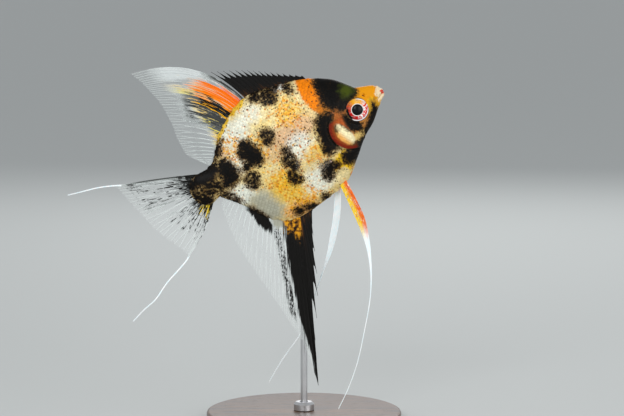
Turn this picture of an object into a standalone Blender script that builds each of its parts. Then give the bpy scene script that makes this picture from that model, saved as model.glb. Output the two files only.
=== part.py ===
"""Marble angelfish (Pterophyllum scalare), life size, swimming nose up on a plain display stand.

The fish is laid out in its own axes: x runs forward from the tail base, y to its left and z towards
its back.  Shapes there are in hundredths of the body's length, and h() turns them into metres.  One
empty then pitches the fish and lifts it over the stand.  The stand is laid out in world metres, with
the origin on the floor under its rod.
"""

import math

import bmesh
import bpy
from mathutils import Matrix, Vector

# ---- Driving dimensions, in metres and radians --------------------------------------------------
BODY_LENGTH = 0.075  # from the snout to the tail base
BODY_WIDTH = 0.0148  # across the widest place, behind the gill covers
PITCH = math.radians(29)  # how far the nose points up
TAIL_BASE_X = -0.0365  # the tail base, from the rod
TAIL_BASE_Z = 0.0860  # the tail base, over the floor
BODY_BESIDE_ROD = -0.0035  # the fish's middle plane, to the right of the rod
GAP = 0.0003  # clearance between neighbouring solids

BASE_RADIUS = 0.036
BASE_THICKNESS = 0.004
BASE_BEVEL = 0.0008
ROD_RADIUS = 0.00125
ROD_TOP_Z = 0.089  # inside the flank
ROD_HOLE_FROM_Z = 0.060  # below the belly
ROD_SOCKET_DEPTH = 0.0022
COLLAR_RADIUS = 0.0038
COLLAR_HEIGHT = 0.0030

# ---- Fineness of the solids ---------------------------------------------------------------------
RING_POINTS = 28
ROUND_SIDES = 48
ROD_SIDES = 16

# ---- Colours ------------------------------------------------------------------------------------
COLOURS = {
    "skin": ((0.78, 0.66, 0.50), 0.35, 0.0),
    "orange": ((0.85, 0.36, 0.04), 0.35, 0.0),
    "cream": ((0.86, 0.74, 0.45), 0.30, 0.0),
    "black": ((0.02, 0.018, 0.015), 0.40, 0.0),
    "clear_fin": ((0.80, 0.88, 0.84), 0.30, 0.0),
    "thread": ((0.85, 0.92, 0.96), 0.35, 0.0),
    "eye": ((0.03, 0.02, 0.02), 0.08, 0.0),
    "base": ((0.05, 0.035, 0.028), 0.45, 0.0),
    "steel": ((0.62, 0.62, 0.64), 0.30, 1.0),
}

H = BODY_LENGTH / 100


def h(forward, up, left=0.0):
    """A point of the fish, given in hundredths of the body's length."""
    return Vector((forward, left, up)) * H


# ---- Helpers: curves, meshes and Booleans -------------------------------------------------------
def curve_through(points):
    """The smooth line through (x, y) points, which never swings past them, as a function of x."""
    points = sorted(points)
    xs = [p[0] for p in points]
    ys = [p[1] for p in points]
    steps = [b - a for a, b in zip(xs, xs[1:])]
    slopes = [(b - a) / step for a, b, step in zip(ys, ys[1:], steps)]
    tangents = [slopes[0]]
    for before, after in zip(slopes, slopes[1:]):
        level = before * after <= 0
        tangents.append(0.0 if level else 2 * before * after / (before + after))
    tangents.append(slopes[-1])

    def value(x):
        x = min(max(x, xs[0]), xs[-1])
        i = max(k for k in range(len(steps)) if k == 0 or xs[k] <= x)
        t = (x - xs[i]) / steps[i]
        start = (1 + 2 * t) * (1 - t) ** 2 * ys[i] + t * (1 - t) ** 2 * steps[i] * tangents[i]
        end = t * t * (3 - 2 * t) * ys[i + 1] - t * t * (1 - t) * steps[i] * tangents[i + 1]
        return start + end

    return value


def mixed(a, b, share):
    return a + (b - a) * share


def between(rows, share):
    """The row of values a share of the way along a list of rows, on smooth lines through them."""
    count = len(rows) - 1
    columns = zip(*rows)
    return [curve_through([(i / count, v) for i, v in enumerate(c)])(share) for c in columns]


def clear_scene():
    for old in list(bpy.data.objects):
        bpy.data.objects.remove(old, do_unlink=True)


def material(name):
    found = bpy.data.materials.get(name)
    if found:
        return found
    colour, roughness, metallic = COLOURS[name]
    made = bpy.data.materials.new(name)
    made.use_nodes = True
    shader = made.node_tree.nodes["Principled BSDF"]
    shader.inputs["Base Color"].default_value = (*colour, 1.0)
    shader.inputs["Roughness"].default_value = roughness
    shader.inputs["Metallic"].default_value = metallic
    return made


def new_object(name, bm, material_name=None):
    bmesh.ops.recalc_face_normals(bm, faces=bm.faces)
    mesh = bpy.data.meshes.new(name)
    bm.to_mesh(mesh)
    bm.free()
    made = bpy.data.objects.new(name, mesh)
    bpy.context.scene.collection.objects.link(made)
    if material_name:
        mesh.materials.append(material(material_name))
    return made


def as_cutter(obj):
    obj.hide_render = True
    obj.display_type = "WIRE"
    return obj


def boolean(obj, cutter, operation="DIFFERENCE"):
    """Cuts the object with the cutter, or keeps what they share, for good."""
    modifier = obj.modifiers.new("cut", "BOOLEAN")
    modifier.operation = operation
    modifier.solver = "EXACT"
    modifier.object = cutter
    graph = bpy.context.evaluated_depsgraph_get()
    cut = bpy.data.meshes.new_from_object(obj.evaluated_get(graph))
    obj.modifiers.clear()
    obj.data = cut


def loft(bm, rings, ends=(None, None)):
    """Joins rings of points with faces.  Each end is closed flat, or to a point if one is given."""
    rings = [[bm.verts.new(p) for p in ring] for ring in rings]
    for first, second in zip(rings, rings[1:]):
        for i in range(len(first)):
            j = (i + 1) % len(first)
            bm.faces.new((first[i], first[j], second[j], second[i]))
    for ring, tip in ((rings[0], ends[0]), (rings[-1], ends[1])):
        if tip is None:
            bm.faces.new(ring)
            continue
        point = bm.verts.new(tip)
        for i in range(len(ring)):
            bm.faces.new((ring[i], ring[(i + 1) % len(ring)], point))


def prism(name, outline, left_from, left_to):
    """A cutter: a closed outline seen from the side, drawn out between two sideways limits."""
    bm = bmesh.new()
    loft(bm, [[h(*point, left) for point in outline] for left in (left_from, left_to)])
    return as_cutter(new_object(name, bm))


def thin_wall(name, path):
    """A cutter one GAP thick along a path seen from the side, through the whole body."""
    sides = [[], []]
    for i, point in enumerate(path):
        before, after = Vector(path[max(i - 1, 0)]), Vector(path[min(i + 1, len(path) - 1)])
        along = (after - before).normalized()
        across = Vector((-along.y, along.x)) * (GAP / H / 2)
        sides[0].append(Vector(point) + across)
        sides[1].append(Vector(point) - across)
    bm = bmesh.new()
    rings = []
    for one, other in zip(*sides):
        corners = ((one, -FAR_OUT), (one, FAR_OUT), (other, FAR_OUT), (other, -FAR_OUT))
        rings.append([h(*corner, left) for corner, left in corners])
    loft(bm, rings)
    return as_cutter(new_object(name, bm))


def grown(outline, amount):
    """An outline moved out by an amount, all round.  Its points run clockwise."""
    moved = []
    for i, point in enumerate(outline):
        along = (Vector(outline[(i + 1) % len(outline)]) - Vector(outline[i - 1])).normalized()
        moved.append(Vector(point) + Vector((-along.y, along.x)) * amount)
    return moved


def arc(centre, radius, from_degrees, to_degrees, steps):
    turns = [math.radians(mixed(from_degrees, to_degrees, i / steps)) for i in range(steps + 1)]
    return [(centre[0] + radius * math.cos(t), centre[1] + radius * math.sin(t)) for t in turns]


# ---- The body's outline and thickness, in hundredths of its length ------------------------------
SNOUT, STEM_END = 100.0, -3.0
TRUNK_FROM, TRUNK_TO = 10.0, 80.0  # the stations of the body stand closer on either side
SNOUT_CAP, STEM_CAP = 0.4, 0.4  # the blunt ends past the last rings
FAR_OUT = 16.0  # sideways past every flank
back_line = curve_through(
    [(-3, 7.2), (0, 8.6), (6, 8.6), (10.3, 10.2), (16.4, 16.8), (21, 21.4), (30, 26.8), (36.5, 29.6),
     (42, 30.4), (55, 28.0), (68, 24.4), (80, 17.9), (86.7, 10.7), (88.4, 8.6), (92, 7.1), (96, 5.5),
     (98.6, 3.4), (100, 0.3)]
)
belly_line = curve_through(
    [(-3, -6.2), (0, -7.8), (5.6, -6.5), (9.3, -10.4), (14.7, -17.6), (22, -27.6), (28, -32.2),
     (36, -34.2), (46, -33.4), (58.8, -31.2), (64, -29.6), (73.3, -22.2), (81.3, -15.2),
     (89.3, -9.9), (95, -4.9), (98.6, -1.9), (100, -0.1)]
)
middle_line = curve_through([(-3, 0.6), (6, 0.8), (30, -1.5), (60, -2.5), (84, -1.2), (100, 0.1)])
half_width = curve_through(
    [(-3, 0.16), (0, 0.25), (6, 0.33), (18, 0.50), (32, 0.74), (46, 0.95), (58, 1.0), (70, 0.94),
     (80, 0.71), (86, 0.56), (92, 0.40), (97, 0.28), (99.3, 0.14), (100, 0.02)]
)
ridge_sharpness = curve_through([(-3, 1.0), (20, 1.25), (62, 1.25), (86, 1.0), (100, 0.9)])


def body_ring(forward, grow=0.0):
    """One cross-section of the body: a narrow lens, widest near its middle line."""
    middle = middle_line(forward)
    half = half_width(forward) * BODY_WIDTH / 2 / H + grow
    sharpness = ridge_sharpness(forward)
    ring = []
    for i in range(RING_POINTS):
        turn = 2 * math.pi * i / RING_POINTS
        side, rise = math.cos(turn), math.sin(turn)
        edge = back_line(forward) + grow if rise > 0 else belly_line(forward) - grow
        left = math.copysign(abs(side) ** sharpness, side) * half
        ring.append(h(forward, mixed(middle, edge, abs(rise)), left))
    return ring


def flank(forward, up):
    """How far the skin lies from the middle plane at a place seen from the side."""
    middle = middle_line(forward)
    edge = back_line(forward) if up > middle else belly_line(forward)
    share = min(abs((up - middle) / (edge - middle)), 1.0)
    sideways = (1 - share * share) ** (ridge_sharpness(forward) / 2)
    return half_width(forward) * BODY_WIDTH / 2 / H * sideways


def whole_body(name, grow=0.0):
    """The body with no fins, closed at the snout and the tail stem, or larger all round by grow."""
    tail_steps, trunk_steps, head_steps = 5, 18, 16
    stations = [mixed(STEM_END, TRUNK_FROM, i / tail_steps) for i in range(tail_steps)]
    stations += [mixed(TRUNK_FROM, TRUNK_TO, i / trunk_steps) for i in range(trunk_steps)]
    head = SNOUT - SNOUT_CAP - TRUNK_TO
    turns = [math.pi / 2 * i / head_steps for i in range(head_steps + 1)]
    stations += [TRUNK_TO + head * math.sin(turn) for turn in turns]
    rings = [body_ring(s, grow) for s in stations]
    snout = h(SNOUT + grow, mixed(belly_line(SNOUT), back_line(SNOUT), 0.5))
    stem = h(STEM_END - grow - STEM_CAP, middle_line(STEM_END))
    bm = bmesh.new()
    loft(bm, rings, (stem, snout))
    return new_object(name, bm)


# ---- Head: jaws, gill covers and eyes -----------------------------------------------------------
MOUTH_CORNER = (94.6, -2.0)
NAPE, THROAT = (76.0, 25.0), (75.6, -24.0)  # where the gill slit runs out, past back and belly
GILL_CENTRE = (77.7, -7.0)
COVER_RADIUS, SLIT_RADIUS = 11.0, 10.2  # the slit passes under the edge of the gill covers
COVER_TOP_ANGLE, COVER_FOOT_ANGLE = 121, 265
SLIT_TOP_ANGLE, SLIT_FOOT_ANGLE = 142, 240
COVER_FRONT = [(78.2, -17.4), (78.4, -13.5), (77.4, -8.0), (74.6, -2.4), (73.2, 2.4)]
COVER_INNER = 4.0  # how deep the gill covers reach, from the middle plane
STEM_CUT = 10.6

EYE_CENTRE = (84.2, -1.2)
EYE_RADIUS = 6.1
EYE_OUT, EYE_HALF_DEPTH = 4.4, 3.5
EYE_FORWARD_TURN = math.radians(12)
EYE_SEGMENTS, EYE_RINGS = 20, 9


def body_walls():
    """The thin walls that part the body into jaws, head, trunk and tail stem."""
    slit = arc(GILL_CENTRE, SLIT_RADIUS, SLIT_TOP_ANGLE, SLIT_FOOT_ANGLE, 10)
    return [
        thin_wall("cut_gill_slit", [NAPE, *slit, THROAT]),
        thin_wall("cut_stem", [(STEM_CUT, -40), (STEM_CUT, 40)]),
        thin_wall("cut_gape", [(MOUTH_CORNER[0] - 0.1, MOUTH_CORNER[1]), (104, 0.4)]),
        thin_wall("cut_jaw", [(98.5, 9), MOUTH_CORNER, (89.6, -12)]),
    ]


def cover_prism(name, side, gap=0.0):
    """The space of one gill cover, or of the hollow that it lies in where a gap is given."""
    rear = arc(GILL_CENTRE, COVER_RADIUS, COVER_FOOT_ANGLE, COVER_TOP_ANGLE, 12)
    outline = grown(rear + COVER_FRONT[::-1], gap)
    return prism(name, outline, *sorted((side * (COVER_INNER - gap), side * FAR_OUT)))


def eyeball(name, side, grow=0.0):
    """A flattened ball that looks out and a little forward."""
    bm = bmesh.new()
    bmesh.ops.create_uvsphere(bm, u_segments=EYE_SEGMENTS, v_segments=EYE_RINGS, radius=1.0)
    wide, deep = (EYE_RADIUS * H + grow), (EYE_HALF_DEPTH * H + grow)
    size = Matrix.Diagonal((wide, wide, deep, 1.0))
    upright = Matrix.Rotation(math.pi / 2, 4, "X")
    turned = Matrix.Rotation(-side * EYE_FORWARD_TURN, 4, "Z")
    placed = Matrix.Translation(h(*EYE_CENTRE, side * EYE_OUT))
    bmesh.ops.transform(bm, matrix=placed @ turned @ upright @ size, verts=bm.verts)
    return new_object(name, bm, None if grow else "eye")


BODY_PIECES = {
    "upper_jaw": (h(98, 1.5), "cream"),
    "lower_jaw": (h(95.5, -3.6), "orange"),
    "head": (h(86, 1), "orange"),
    "trunk": (h(40, -2), "skin"),
    "tail_stem": (h(4, 0), "black"),
}


def loose_parts(obj):
    """Splits an object into one for each separate shell."""
    bm = bmesh.new()
    bm.from_mesh(obj.data)
    left, shells = set(bm.verts), []
    while left:
        todo, shell = [left.pop()], set()
        while todo:
            vertex = todo.pop()
            shell.add(vertex)
            for edge in vertex.link_edges:
                other = edge.other_vert(vertex)
                if other in left:
                    left.remove(other)
                    todo.append(other)
        shells.append({v.index for v in shell})
    bm.free()
    parts = []
    for shell in shells:
        part = bmesh.new()
        part.from_mesh(obj.data)
        part.verts.ensure_lookup_table()
        away = [v for v in part.verts if v.index not in shell]
        bmesh.ops.delete(part, geom=away, context="VERTS")
        parts.append(part)
    return parts


def middle_of(bm):
    lows = [min(v.co[k] for v in bm.verts) for k in range(3)]
    highs = [max(v.co[k] for v in bm.verts) for k in range(3)]
    return (Vector(lows) + Vector(highs)) / 2


def make_body(rod_cutter):
    """The body in its named pieces, with eyes in their sockets and a socket for the rod."""
    pieces = [eyeball("eye_right", -1), eyeball("eye_left", 1)]
    whole = whole_body("whole_body")
    for side, word in ((-1, "right"), (1, "left")):
        cover = whole_body(f"gill_cover_{word}")
        cover.data.materials.append(material("cream"))
        boolean(cover, cover_prism(f"cover_{word}", side), "INTERSECT")
        pieces.append(cover)
        boolean(whole, cover_prism(f"cover_hollow_{word}", side, 1.1 * GAP / H))
        boolean(whole, as_cutter(eyeball(f"eye_socket_{word}", side, GAP)))
    for cutter in (rod_cutter, *body_walls()):
        boolean(whole, cutter)
    for part in loose_parts(whole):
        middle = middle_of(part)
        name = min(BODY_PIECES, key=lambda n: (BODY_PIECES[n][0] - middle).length)
        pieces.append(new_object(name, part, BODY_PIECES[name][1]))
    bpy.data.objects.remove(whole, do_unlink=True)
    return pieces


# ---- Fins ---------------------------------------------------------------------------------------
# A fin is a fan of rays.  A ray is (root forward, root up, tip forward, tip up, bow), seen from the
# side: its middle stands out by its bow, to the right of one who looks from its root to its tip.
ROOT_HALF = 0.85  # half the thickness at the root
EDGE_HALF = 0.36  # half the thickness at the edge, which makes it just over half a millimetre

DORSAL_SPINES, ANAL_SPINES = 14, 7
dorsal_spine_keys = [
    (69.6, 22.8, 68.8, 25.8, 0), (59.9, 25.4, 56.3, 34.3, 0), (50.4, 27.2, 44.8, 41.7, 0.3),
    (40.2, 28.2, 31.6, 48.0, 0.6),
]
dorsal_soft_keys = [
    (38.9, 28.6, -3.6, 66.8, 8.8), (34.9, 27.8, -0.8, 59.6, 6.0), (30.5, 25.6, 0.8, 53.4, 4.0),
    (26.0, 22.8, 2.2, 45.4, 2.6), (21.5, 19.6, 2.2, 36.4, 1.6), (17.8, 16.4, 1.0, 28.0, 0.8),
    (14.6, 13.2, 1.0, 20.8, 0.4), (12.0, 10.2, 4.4, 14.8, 0), (9.8, 8.2, 7.0, 11.4, 0),
]
anal_spine_keys = [
    (43.0, -32.2, 40.3, -35.2, 0), (40.2, -32.2, 35.2, -46.4, 0), (36.8, -32.4, 25.6, -67.6, 0),
]
anal_soft_keys = [
    (35.8, -32.4, 12.2, -89.4, 0), (33.8, -32.2, 2.2, -111.2, 0), (31.8, -31.6, 6.0, -88.4, 0),
    (29.0, -30.2, 5.2, -77.6, 0), (25.5, -28.0, 4.4, -67.0, 0), (22.0, -25.2, 3.4, -56.0, 0),
    (18.5, -21.0, 2.2, -44.0, 0.4), (15.0, -16.4, 1.4, -30.6, 0.4), (11.0, -11.2, 2.6, -17.4, 0),
    (8.2, -7.6, 4.2, -9.8, 0),
]
tail_keys = [
    (2.0, 7.8, -37.0, 23.0, 0.5), (1.0, 6.2, -36.6, 21.9, 0.3), (0.0, 4.0, -35.2, 15.0, 0),
    (-0.6, 1.6, -32.8, 5.0, 0), (-0.6, -1.2, -30.2, -5.0, 0), (-0.2, -3.4, -26.0, -14.4, -0.4),
    (0.8, -5.0, -22.2, -23.6, -1.2), (1.4, -6.6, -22.8, -25.0, -1.8),
]
pectoral_keys = [
    (63.6, -12.2, 51.4, -5.0, -0.6), (63.2, -13.4, 46.4, -8.4, -0.4), (62.8, -14.6, 44.6, -13.0, 0),
    (62.4, -15.8, 46.6, -18.2, 0.4), (62.0, -17.0, 51.8, -22.0, 0.6),
]
PECTORAL_SWING = 0.42  # how far out a pectoral swings for each unit of its length

# The fins in the body's middle: key rays, number of rays, how far the web reaches up between the
# rays, rows of faces, sideways wave and colour.
MIDDLE_FINS = {
    "dorsal_spines": (dorsal_spine_keys, DORSAL_SPINES, 0.82, 3, 0.0, "black"),
    "dorsal_fin": (dorsal_soft_keys, 17, 1.0, 7, 1.4, "clear_fin"),
    "anal_spines": (anal_spine_keys, ANAL_SPINES, 0.88, 4, 0.0, "black"),
    "anal_fin": (anal_soft_keys, 19, 1.0, 5, -1.4, "black"),
    "tail_fin": (tail_keys, 15, 1.0, 4, 2.0, "clear_fin"),
}


def along_ray(ray, share):
    """The place that lies a share of the way along a ray."""
    root_x, root_z, tip_x, tip_z, bow = ray
    right = Vector((tip_z - root_z, root_x - tip_x)).normalized()
    out = 4 * bow * share * (1 - share)
    return mixed(root_x, tip_x, share) + right.x * out, mixed(root_z, tip_z, share) + right.y * out


def fan_columns(keys, count, web):
    """Rays evenly spread over the key rays, each with the share of it that the fin covers."""
    steps = 2 * count - 1 if web < 1 else count
    rays = [between(keys, i / (steps - 1)) for i in range(steps)]
    return [(ray, web if i % 2 else 1.0) for i, ray in enumerate(rays)]


def swayed(share_of_fin, share_of_ray, sway):
    """The gentle sideways wave of a fin, nothing at its root and most at its edge."""
    return sway * share_of_ray**2 * math.sin(math.pi * (0.25 + 1.3 * share_of_fin))


def fan_fin(name, columns, rows, sway, material_name, place=None):
    """A thin closed plate over a fan of rays, thick at its root and thin at its edge.

    place(forward, up, left, share of the ray) lets a paired fin swing away from the body.
    """
    bm = bmesh.new()
    corners = {}
    last = len(columns) - 1
    for c, (ray, reach) in enumerate(columns):
        for r in range(rows + 1):
            share = reach * r / rows
            half = mixed(ROOT_HALF, EDGE_HALF, min(1.0, 1.6 * share))
            for side in (1, -1):
                point = (*along_ray(ray, share), swayed(c / last, share, sway) + side * half)
                point = place(*point, share) if place else point
                corners[c, r, side] = bm.verts.new(h(*point))
    for c in range(last):
        for r in range(rows):
            for side in (1, -1):
                square = ((c, r), (c + 1, r), (c + 1, r + 1), (c, r + 1))
                bm.faces.new([corners[(*corner, side)] for corner in square])
    rim = [((c, r), (c + 1, r)) for c in range(last) for r in (0, rows)]
    rim += [((c, r), (c, r + 1)) for c in (0, last) for r in range(rows)]
    for one, other in rim:
        square = ((*one, 1), (*other, 1), (*other, -1), (*one, -1))
        bm.faces.new([corners[corner] for corner in square])
    return new_object(name, bm, material_name)


def make_pectoral(name, side):
    """A fan that leaves the flank behind the gill cover and swings out as it runs back."""
    middle_ray = pectoral_keys[len(pectoral_keys) // 2]
    root_left = flank(*middle_ray[:2]) - 1.0
    swing = PECTORAL_SWING * (middle_ray[0] - middle_ray[2])

    def swung_out(forward, up, left, share):
        return forward, up, side * (root_left + swing * share + left)

    return fan_fin(name, fan_columns(pectoral_keys, 9, 1.0), 4, 0.0, "clear_fin", swung_out)


def make_fins():
    fins = []
    for name, (keys, count, web, rows, sway, colour) in MIDDLE_FINS.items():
        fins.append(fan_fin(name, fan_columns(keys, count, web), rows, sway, colour))
    fins += [make_pectoral("pectoral_fin_right", -1), make_pectoral("pectoral_fin_left", 1)]
    return fins


# ---- Ribbons: the pelvic fins, their long threads and the threads of the tail -------------------
# A station is (forward, up, left, width), from the ribbon's root to its tip.
RIBBON_HALF = 0.37  # half the thickness
pelvic_stations = {
    "right": [
        (61.2, -28.6, -2.2, 3.4), (61.0, -36.0, -4.4, 4.0), (60.5, -46.0, -7.0, 4.2),
        (58.3, -57.6, -9.6, 2.8), (54.0, -69.4, -11.4, 1.4), (46.8, -82.4, -12.4, 0.8),
        (35.4, -96.8, -12.6, 0.8), (24.9, -108.8, -12.2, 0.8), (14.6, -118.0, -11.4, 0.8),
        (6.0, -124.2, -11.0, 0.8),
    ],
    "left": [
        (58.6, -28.4, 2.2, 2.8), (51.7, -40.6, 4.8, 3.2), (44.2, -50.4, 7.6, 3.0),
        (37.7, -57.7, 9.8, 2.4), (30.7, -64.1, 12.0, 1.4), (20.6, -73.8, 14.4, 0.8),
        (7.2, -85.6, 16.0, 0.8), (-9.1, -93.9, 17.0, 0.8), (-20.1, -100.5, 17.4, 0.8),
    ],
}
PELVIC_BLADE_END = {"right": 0.46, "left": 0.52}  # the share of the stations where the thread starts
PELVIC_COLOUR = {"right": "orange", "left": "thread"}
tail_thread_stations = {
    "upper": [
        (-37.5, 23.3, 1.5, 0.9), (-45.0, 26.2, 2.4, 0.8), (-53.6, 28.4, 3.8, 0.8),
        (-59.8, 30.0, 5.0, 0.8),
    ],
    "lower": [
        (-23.3, -25.3, -1.9, 0.9), (-28.6, -27.4, -2.6, 0.8), (-37.4, -30.4, -3.8, 0.8),
        (-46.8, -35.0, -4.6, 0.8), (-53.0, -36.3, -5.0, 0.8), (-61.0, -38.8, -5.2, 0.8),
    ],
}


def ribbon(name, stations, from_share, to_share, steps, material_name):
    """A flat bar with thin edges, lofted along a stretch of its stations."""
    rings = []
    for i in range(steps + 1):
        share = mixed(from_share, to_share, i / steps)
        forward, up, left, width = between(stations, share)
        behind, ahead = (between(stations, share + step) for step in (-0.01, 0.01))
        along = Vector((ahead[0] - behind[0], ahead[1] - behind[1])).normalized()
        across = Vector((-along.y, along.x)) * width / 2
        outline = ((1, 0.7), (0, 1), (-1, 0.7), (-1, -0.7), (0, -1), (1, -0.7))
        rings.append(
            [
                h(forward + across.x * edge, up + across.y * edge, left + RIBBON_HALF * thick)
                for edge, thick in outline
            ]
        )
    bm = bmesh.new()
    loft(bm, rings)
    return new_object(name, bm, material_name)


def make_ribbons():
    """Returns the pelvic blades, which meet the belly, and the threads, which meet no body."""
    blades, threads = [], []
    for word, stations in pelvic_stations.items():
        end = PELVIC_BLADE_END[word]
        blades.append(ribbon(f"pelvic_fin_{word}", stations, 0, end, 9, PELVIC_COLOUR[word]))
        threads.append(ribbon(f"pelvic_thread_{word}", stations, end + 0.006, 1, 10, "thread"))
    for word, stations in tail_thread_stations.items():
        threads.append(ribbon(f"tail_thread_{word}", stations, 0, 1, 7, "thread"))
    return blades, threads


# ---- The stand ----------------------------------------------------------------------------------
def round_bar(name, radius, low, high, sides, material_name=None):
    bm = bmesh.new()
    lift = Matrix.Translation((0, 0, (low + high) / 2))
    bmesh.ops.create_cone(
        bm, cap_ends=True, segments=sides, radius1=radius, radius2=radius, depth=high - low, matrix=lift
    )
    return new_object(name, bm, material_name)


def turned_ring(name, outer, inner, low, high, material_name):
    """A ring with a chamfered upper edge, open along its axis."""
    chamfer = (high - low) * 0.3
    profile = [(inner, low), (outer, low), (outer, high - chamfer), (outer - chamfer, high), (inner, high)]
    turns = [2 * math.pi * i / ROUND_SIDES for i in range(ROUND_SIDES)]
    bm = bmesh.new()
    rings = [
        [bm.verts.new((r * math.cos(t), r * math.sin(t), z)) for r, z in profile] for t in turns
    ]
    for i, ring in enumerate(rings):
        following = rings[(i + 1) % len(rings)]
        for k in range(len(profile)):
            m = (k + 1) % len(profile)
            bm.faces.new((ring[k], ring[m], following[m], following[k]))
    return new_object(name, bm, material_name)


def make_stand():
    """A round base with a chamfered rim, a collar, and one rod standing in a socket in the base."""
    base = round_bar("stand_base", BASE_RADIUS, 0, BASE_THICKNESS, ROUND_SIDES, "base")
    rim = base.modifiers.new("rim", "BEVEL")
    rim.width = BASE_BEVEL
    rim.segments = 2
    rim.limit_method = "ANGLE"
    foot = BASE_THICKNESS - ROD_SOCKET_DEPTH
    socket = round_bar("socket_base", ROD_RADIUS + GAP, foot, BASE_THICKNESS * 2, ROD_SIDES)
    boolean(base, as_cutter(socket))
    collar_foot = BASE_THICKNESS + GAP
    turned_ring(
        "stand_collar", COLLAR_RADIUS, ROD_RADIUS + GAP, collar_foot, collar_foot + COLLAR_HEIGHT, "steel"
    )
    round_bar("stand_rod", ROD_RADIUS, foot + GAP, ROD_TOP_Z, ROD_SIDES, "steel")


# ---- Putting the fish together ------------------------------------------------------------------
def main():
    clear_scene()
    pose = bpy.data.objects.new("fish_pose", None)
    bpy.context.scene.collection.objects.link(pose)
    place = Matrix.Translation((TAIL_BASE_X, BODY_BESIDE_ROD, TAIL_BASE_Z))
    pose.matrix_world = place @ Matrix.Rotation(-PITCH, 4, "Y")

    rod_hole = round_bar("rod_hole", ROD_RADIUS + GAP, ROD_HOLE_FROM_Z, ROD_TOP_Z + GAP, ROD_SIDES)
    as_cutter(rod_hole)
    rod_hole.data.transform(pose.matrix_world.inverted())
    pieces = make_body(rod_hole)
    clearance = as_cutter(whole_body("clearance_round_body", GAP / H))
    fins = make_fins()
    blades, threads = make_ribbons()
    for fin in fins + blades:
        boolean(fin, clearance)
    for part in pieces + fins + blades + threads:
        part.parent = pose
        part.data.shade_smooth()
        part.data.set_sharp_from_angle(angle=math.radians(40))
    make_stand()
    for cutter in [o for o in bpy.data.objects if o.hide_render]:
        bpy.data.objects.remove(cutter, do_unlink=True)


main()
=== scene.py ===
"""Marble angelfish, the looks: a life-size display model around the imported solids.

Shapes of the fish are laid out in its own axes, in hundredths of its body length: forward from the
tail base, left, and up towards the back.  in_metres() places them over the stand.
"""

import math

import bpy
import numpy as np
from mathutils import Matrix, Vector


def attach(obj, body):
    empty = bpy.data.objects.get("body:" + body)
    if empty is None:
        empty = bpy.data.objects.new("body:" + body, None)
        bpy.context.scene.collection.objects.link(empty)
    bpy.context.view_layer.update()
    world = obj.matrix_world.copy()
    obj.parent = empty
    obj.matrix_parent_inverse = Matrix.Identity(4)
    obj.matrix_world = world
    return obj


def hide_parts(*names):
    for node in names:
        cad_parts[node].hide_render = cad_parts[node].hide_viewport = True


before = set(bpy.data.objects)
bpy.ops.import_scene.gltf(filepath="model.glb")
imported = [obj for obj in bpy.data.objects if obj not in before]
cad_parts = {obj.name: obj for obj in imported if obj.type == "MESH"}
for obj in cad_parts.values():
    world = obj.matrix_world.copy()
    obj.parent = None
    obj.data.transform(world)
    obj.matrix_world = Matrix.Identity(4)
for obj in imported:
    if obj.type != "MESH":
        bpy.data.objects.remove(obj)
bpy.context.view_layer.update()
bpy.ops.object.select_all(action="DESELECT")

# ==== The stand ==================================================================================
# A turned disc of dark stained wood under satin varnish, with one brushed steel rod that stands in
# it through a small steel collar.  Their solids are right as they are and only get their finish.


def math_node(operation, turned=False):
    """A method that joins two values in a Math node, the other one first where it is turned."""

    def method(self, other):
        inputs = (other, self) if turned else (self, other)
        return self.finish.node("Math", {"operation": operation}, inputs)

    return method


class Wire:
    """One value, colour or place on its way through a material.  Arithmetic adds Math nodes."""

    __add__ = __radd__ = math_node("ADD")
    __sub__, __rsub__ = math_node("SUBTRACT"), math_node("SUBTRACT", turned=True)
    __mul__ = __rmul__ = math_node("MULTIPLY")
    __truediv__ = math_node("DIVIDE")
    least, most = math_node("MINIMUM"), math_node("MAXIMUM")

    def __init__(self, finish, socket):
        self.finish, self.socket = finish, socket

    def step(self, low, high):
        """Eases from 0 at low to 1 at high, or the other way where low is the higher."""
        sockets = {"Value": self, "From Min": low, "From Max": high}
        return self.finish.node("MapRange", {"interpolation_type": "SMOOTHSTEP"}, sockets)

    def band(self, low, full, last_full, high):
        """Eases in from low to full, and out again from last_full to high."""
        return self.step(low, full) * self.step(high, last_full)

    def mix(self, below, above):
        """One colour over another by this share."""
        sockets = {"Factor": self, "A": below, "B": above}
        return self.finish.node("Mix", {"data_type": "RGBA"}, sockets)

    def noise(self, scale, detail=2.0, rough=0.5, colour=False):
        sockets = {"Vector": self, "Scale": scale, "Detail": detail, "Roughness": rough}
        return self.finish.node("TexNoise", {}, sockets, output=int(colour))

    def vector_math(self, operation, *others):
        return self.finish.node("VectorMath", {"operation": operation}, (self, *others))

    def shifted(self, offset, amount):
        """This place moved by a vector times an amount."""
        inputs = (offset, amount, self)
        return self.finish.node("VectorMath", {"operation": "MULTIPLY_ADD"}, inputs)

    def framed(self, centre=(0, 0, 0), turn=(0, 0, 0), size=(1, 1, 1)):
        """This place as seen from a centre, with the axes turned and every size counted as one."""
        sockets = {"Vector": self, "Location": centre, "Rotation": turn, "Scale": size}
        return self.finish.node("Mapping", {"vector_type": "TEXTURE"}, sockets)

    def parted(self):
        """The three values of this place."""
        node = self.finish.node("SeparateXYZ", {}, [self]).socket.node
        return [Wire(self.finish, socket) for socket in node.outputs]


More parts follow.
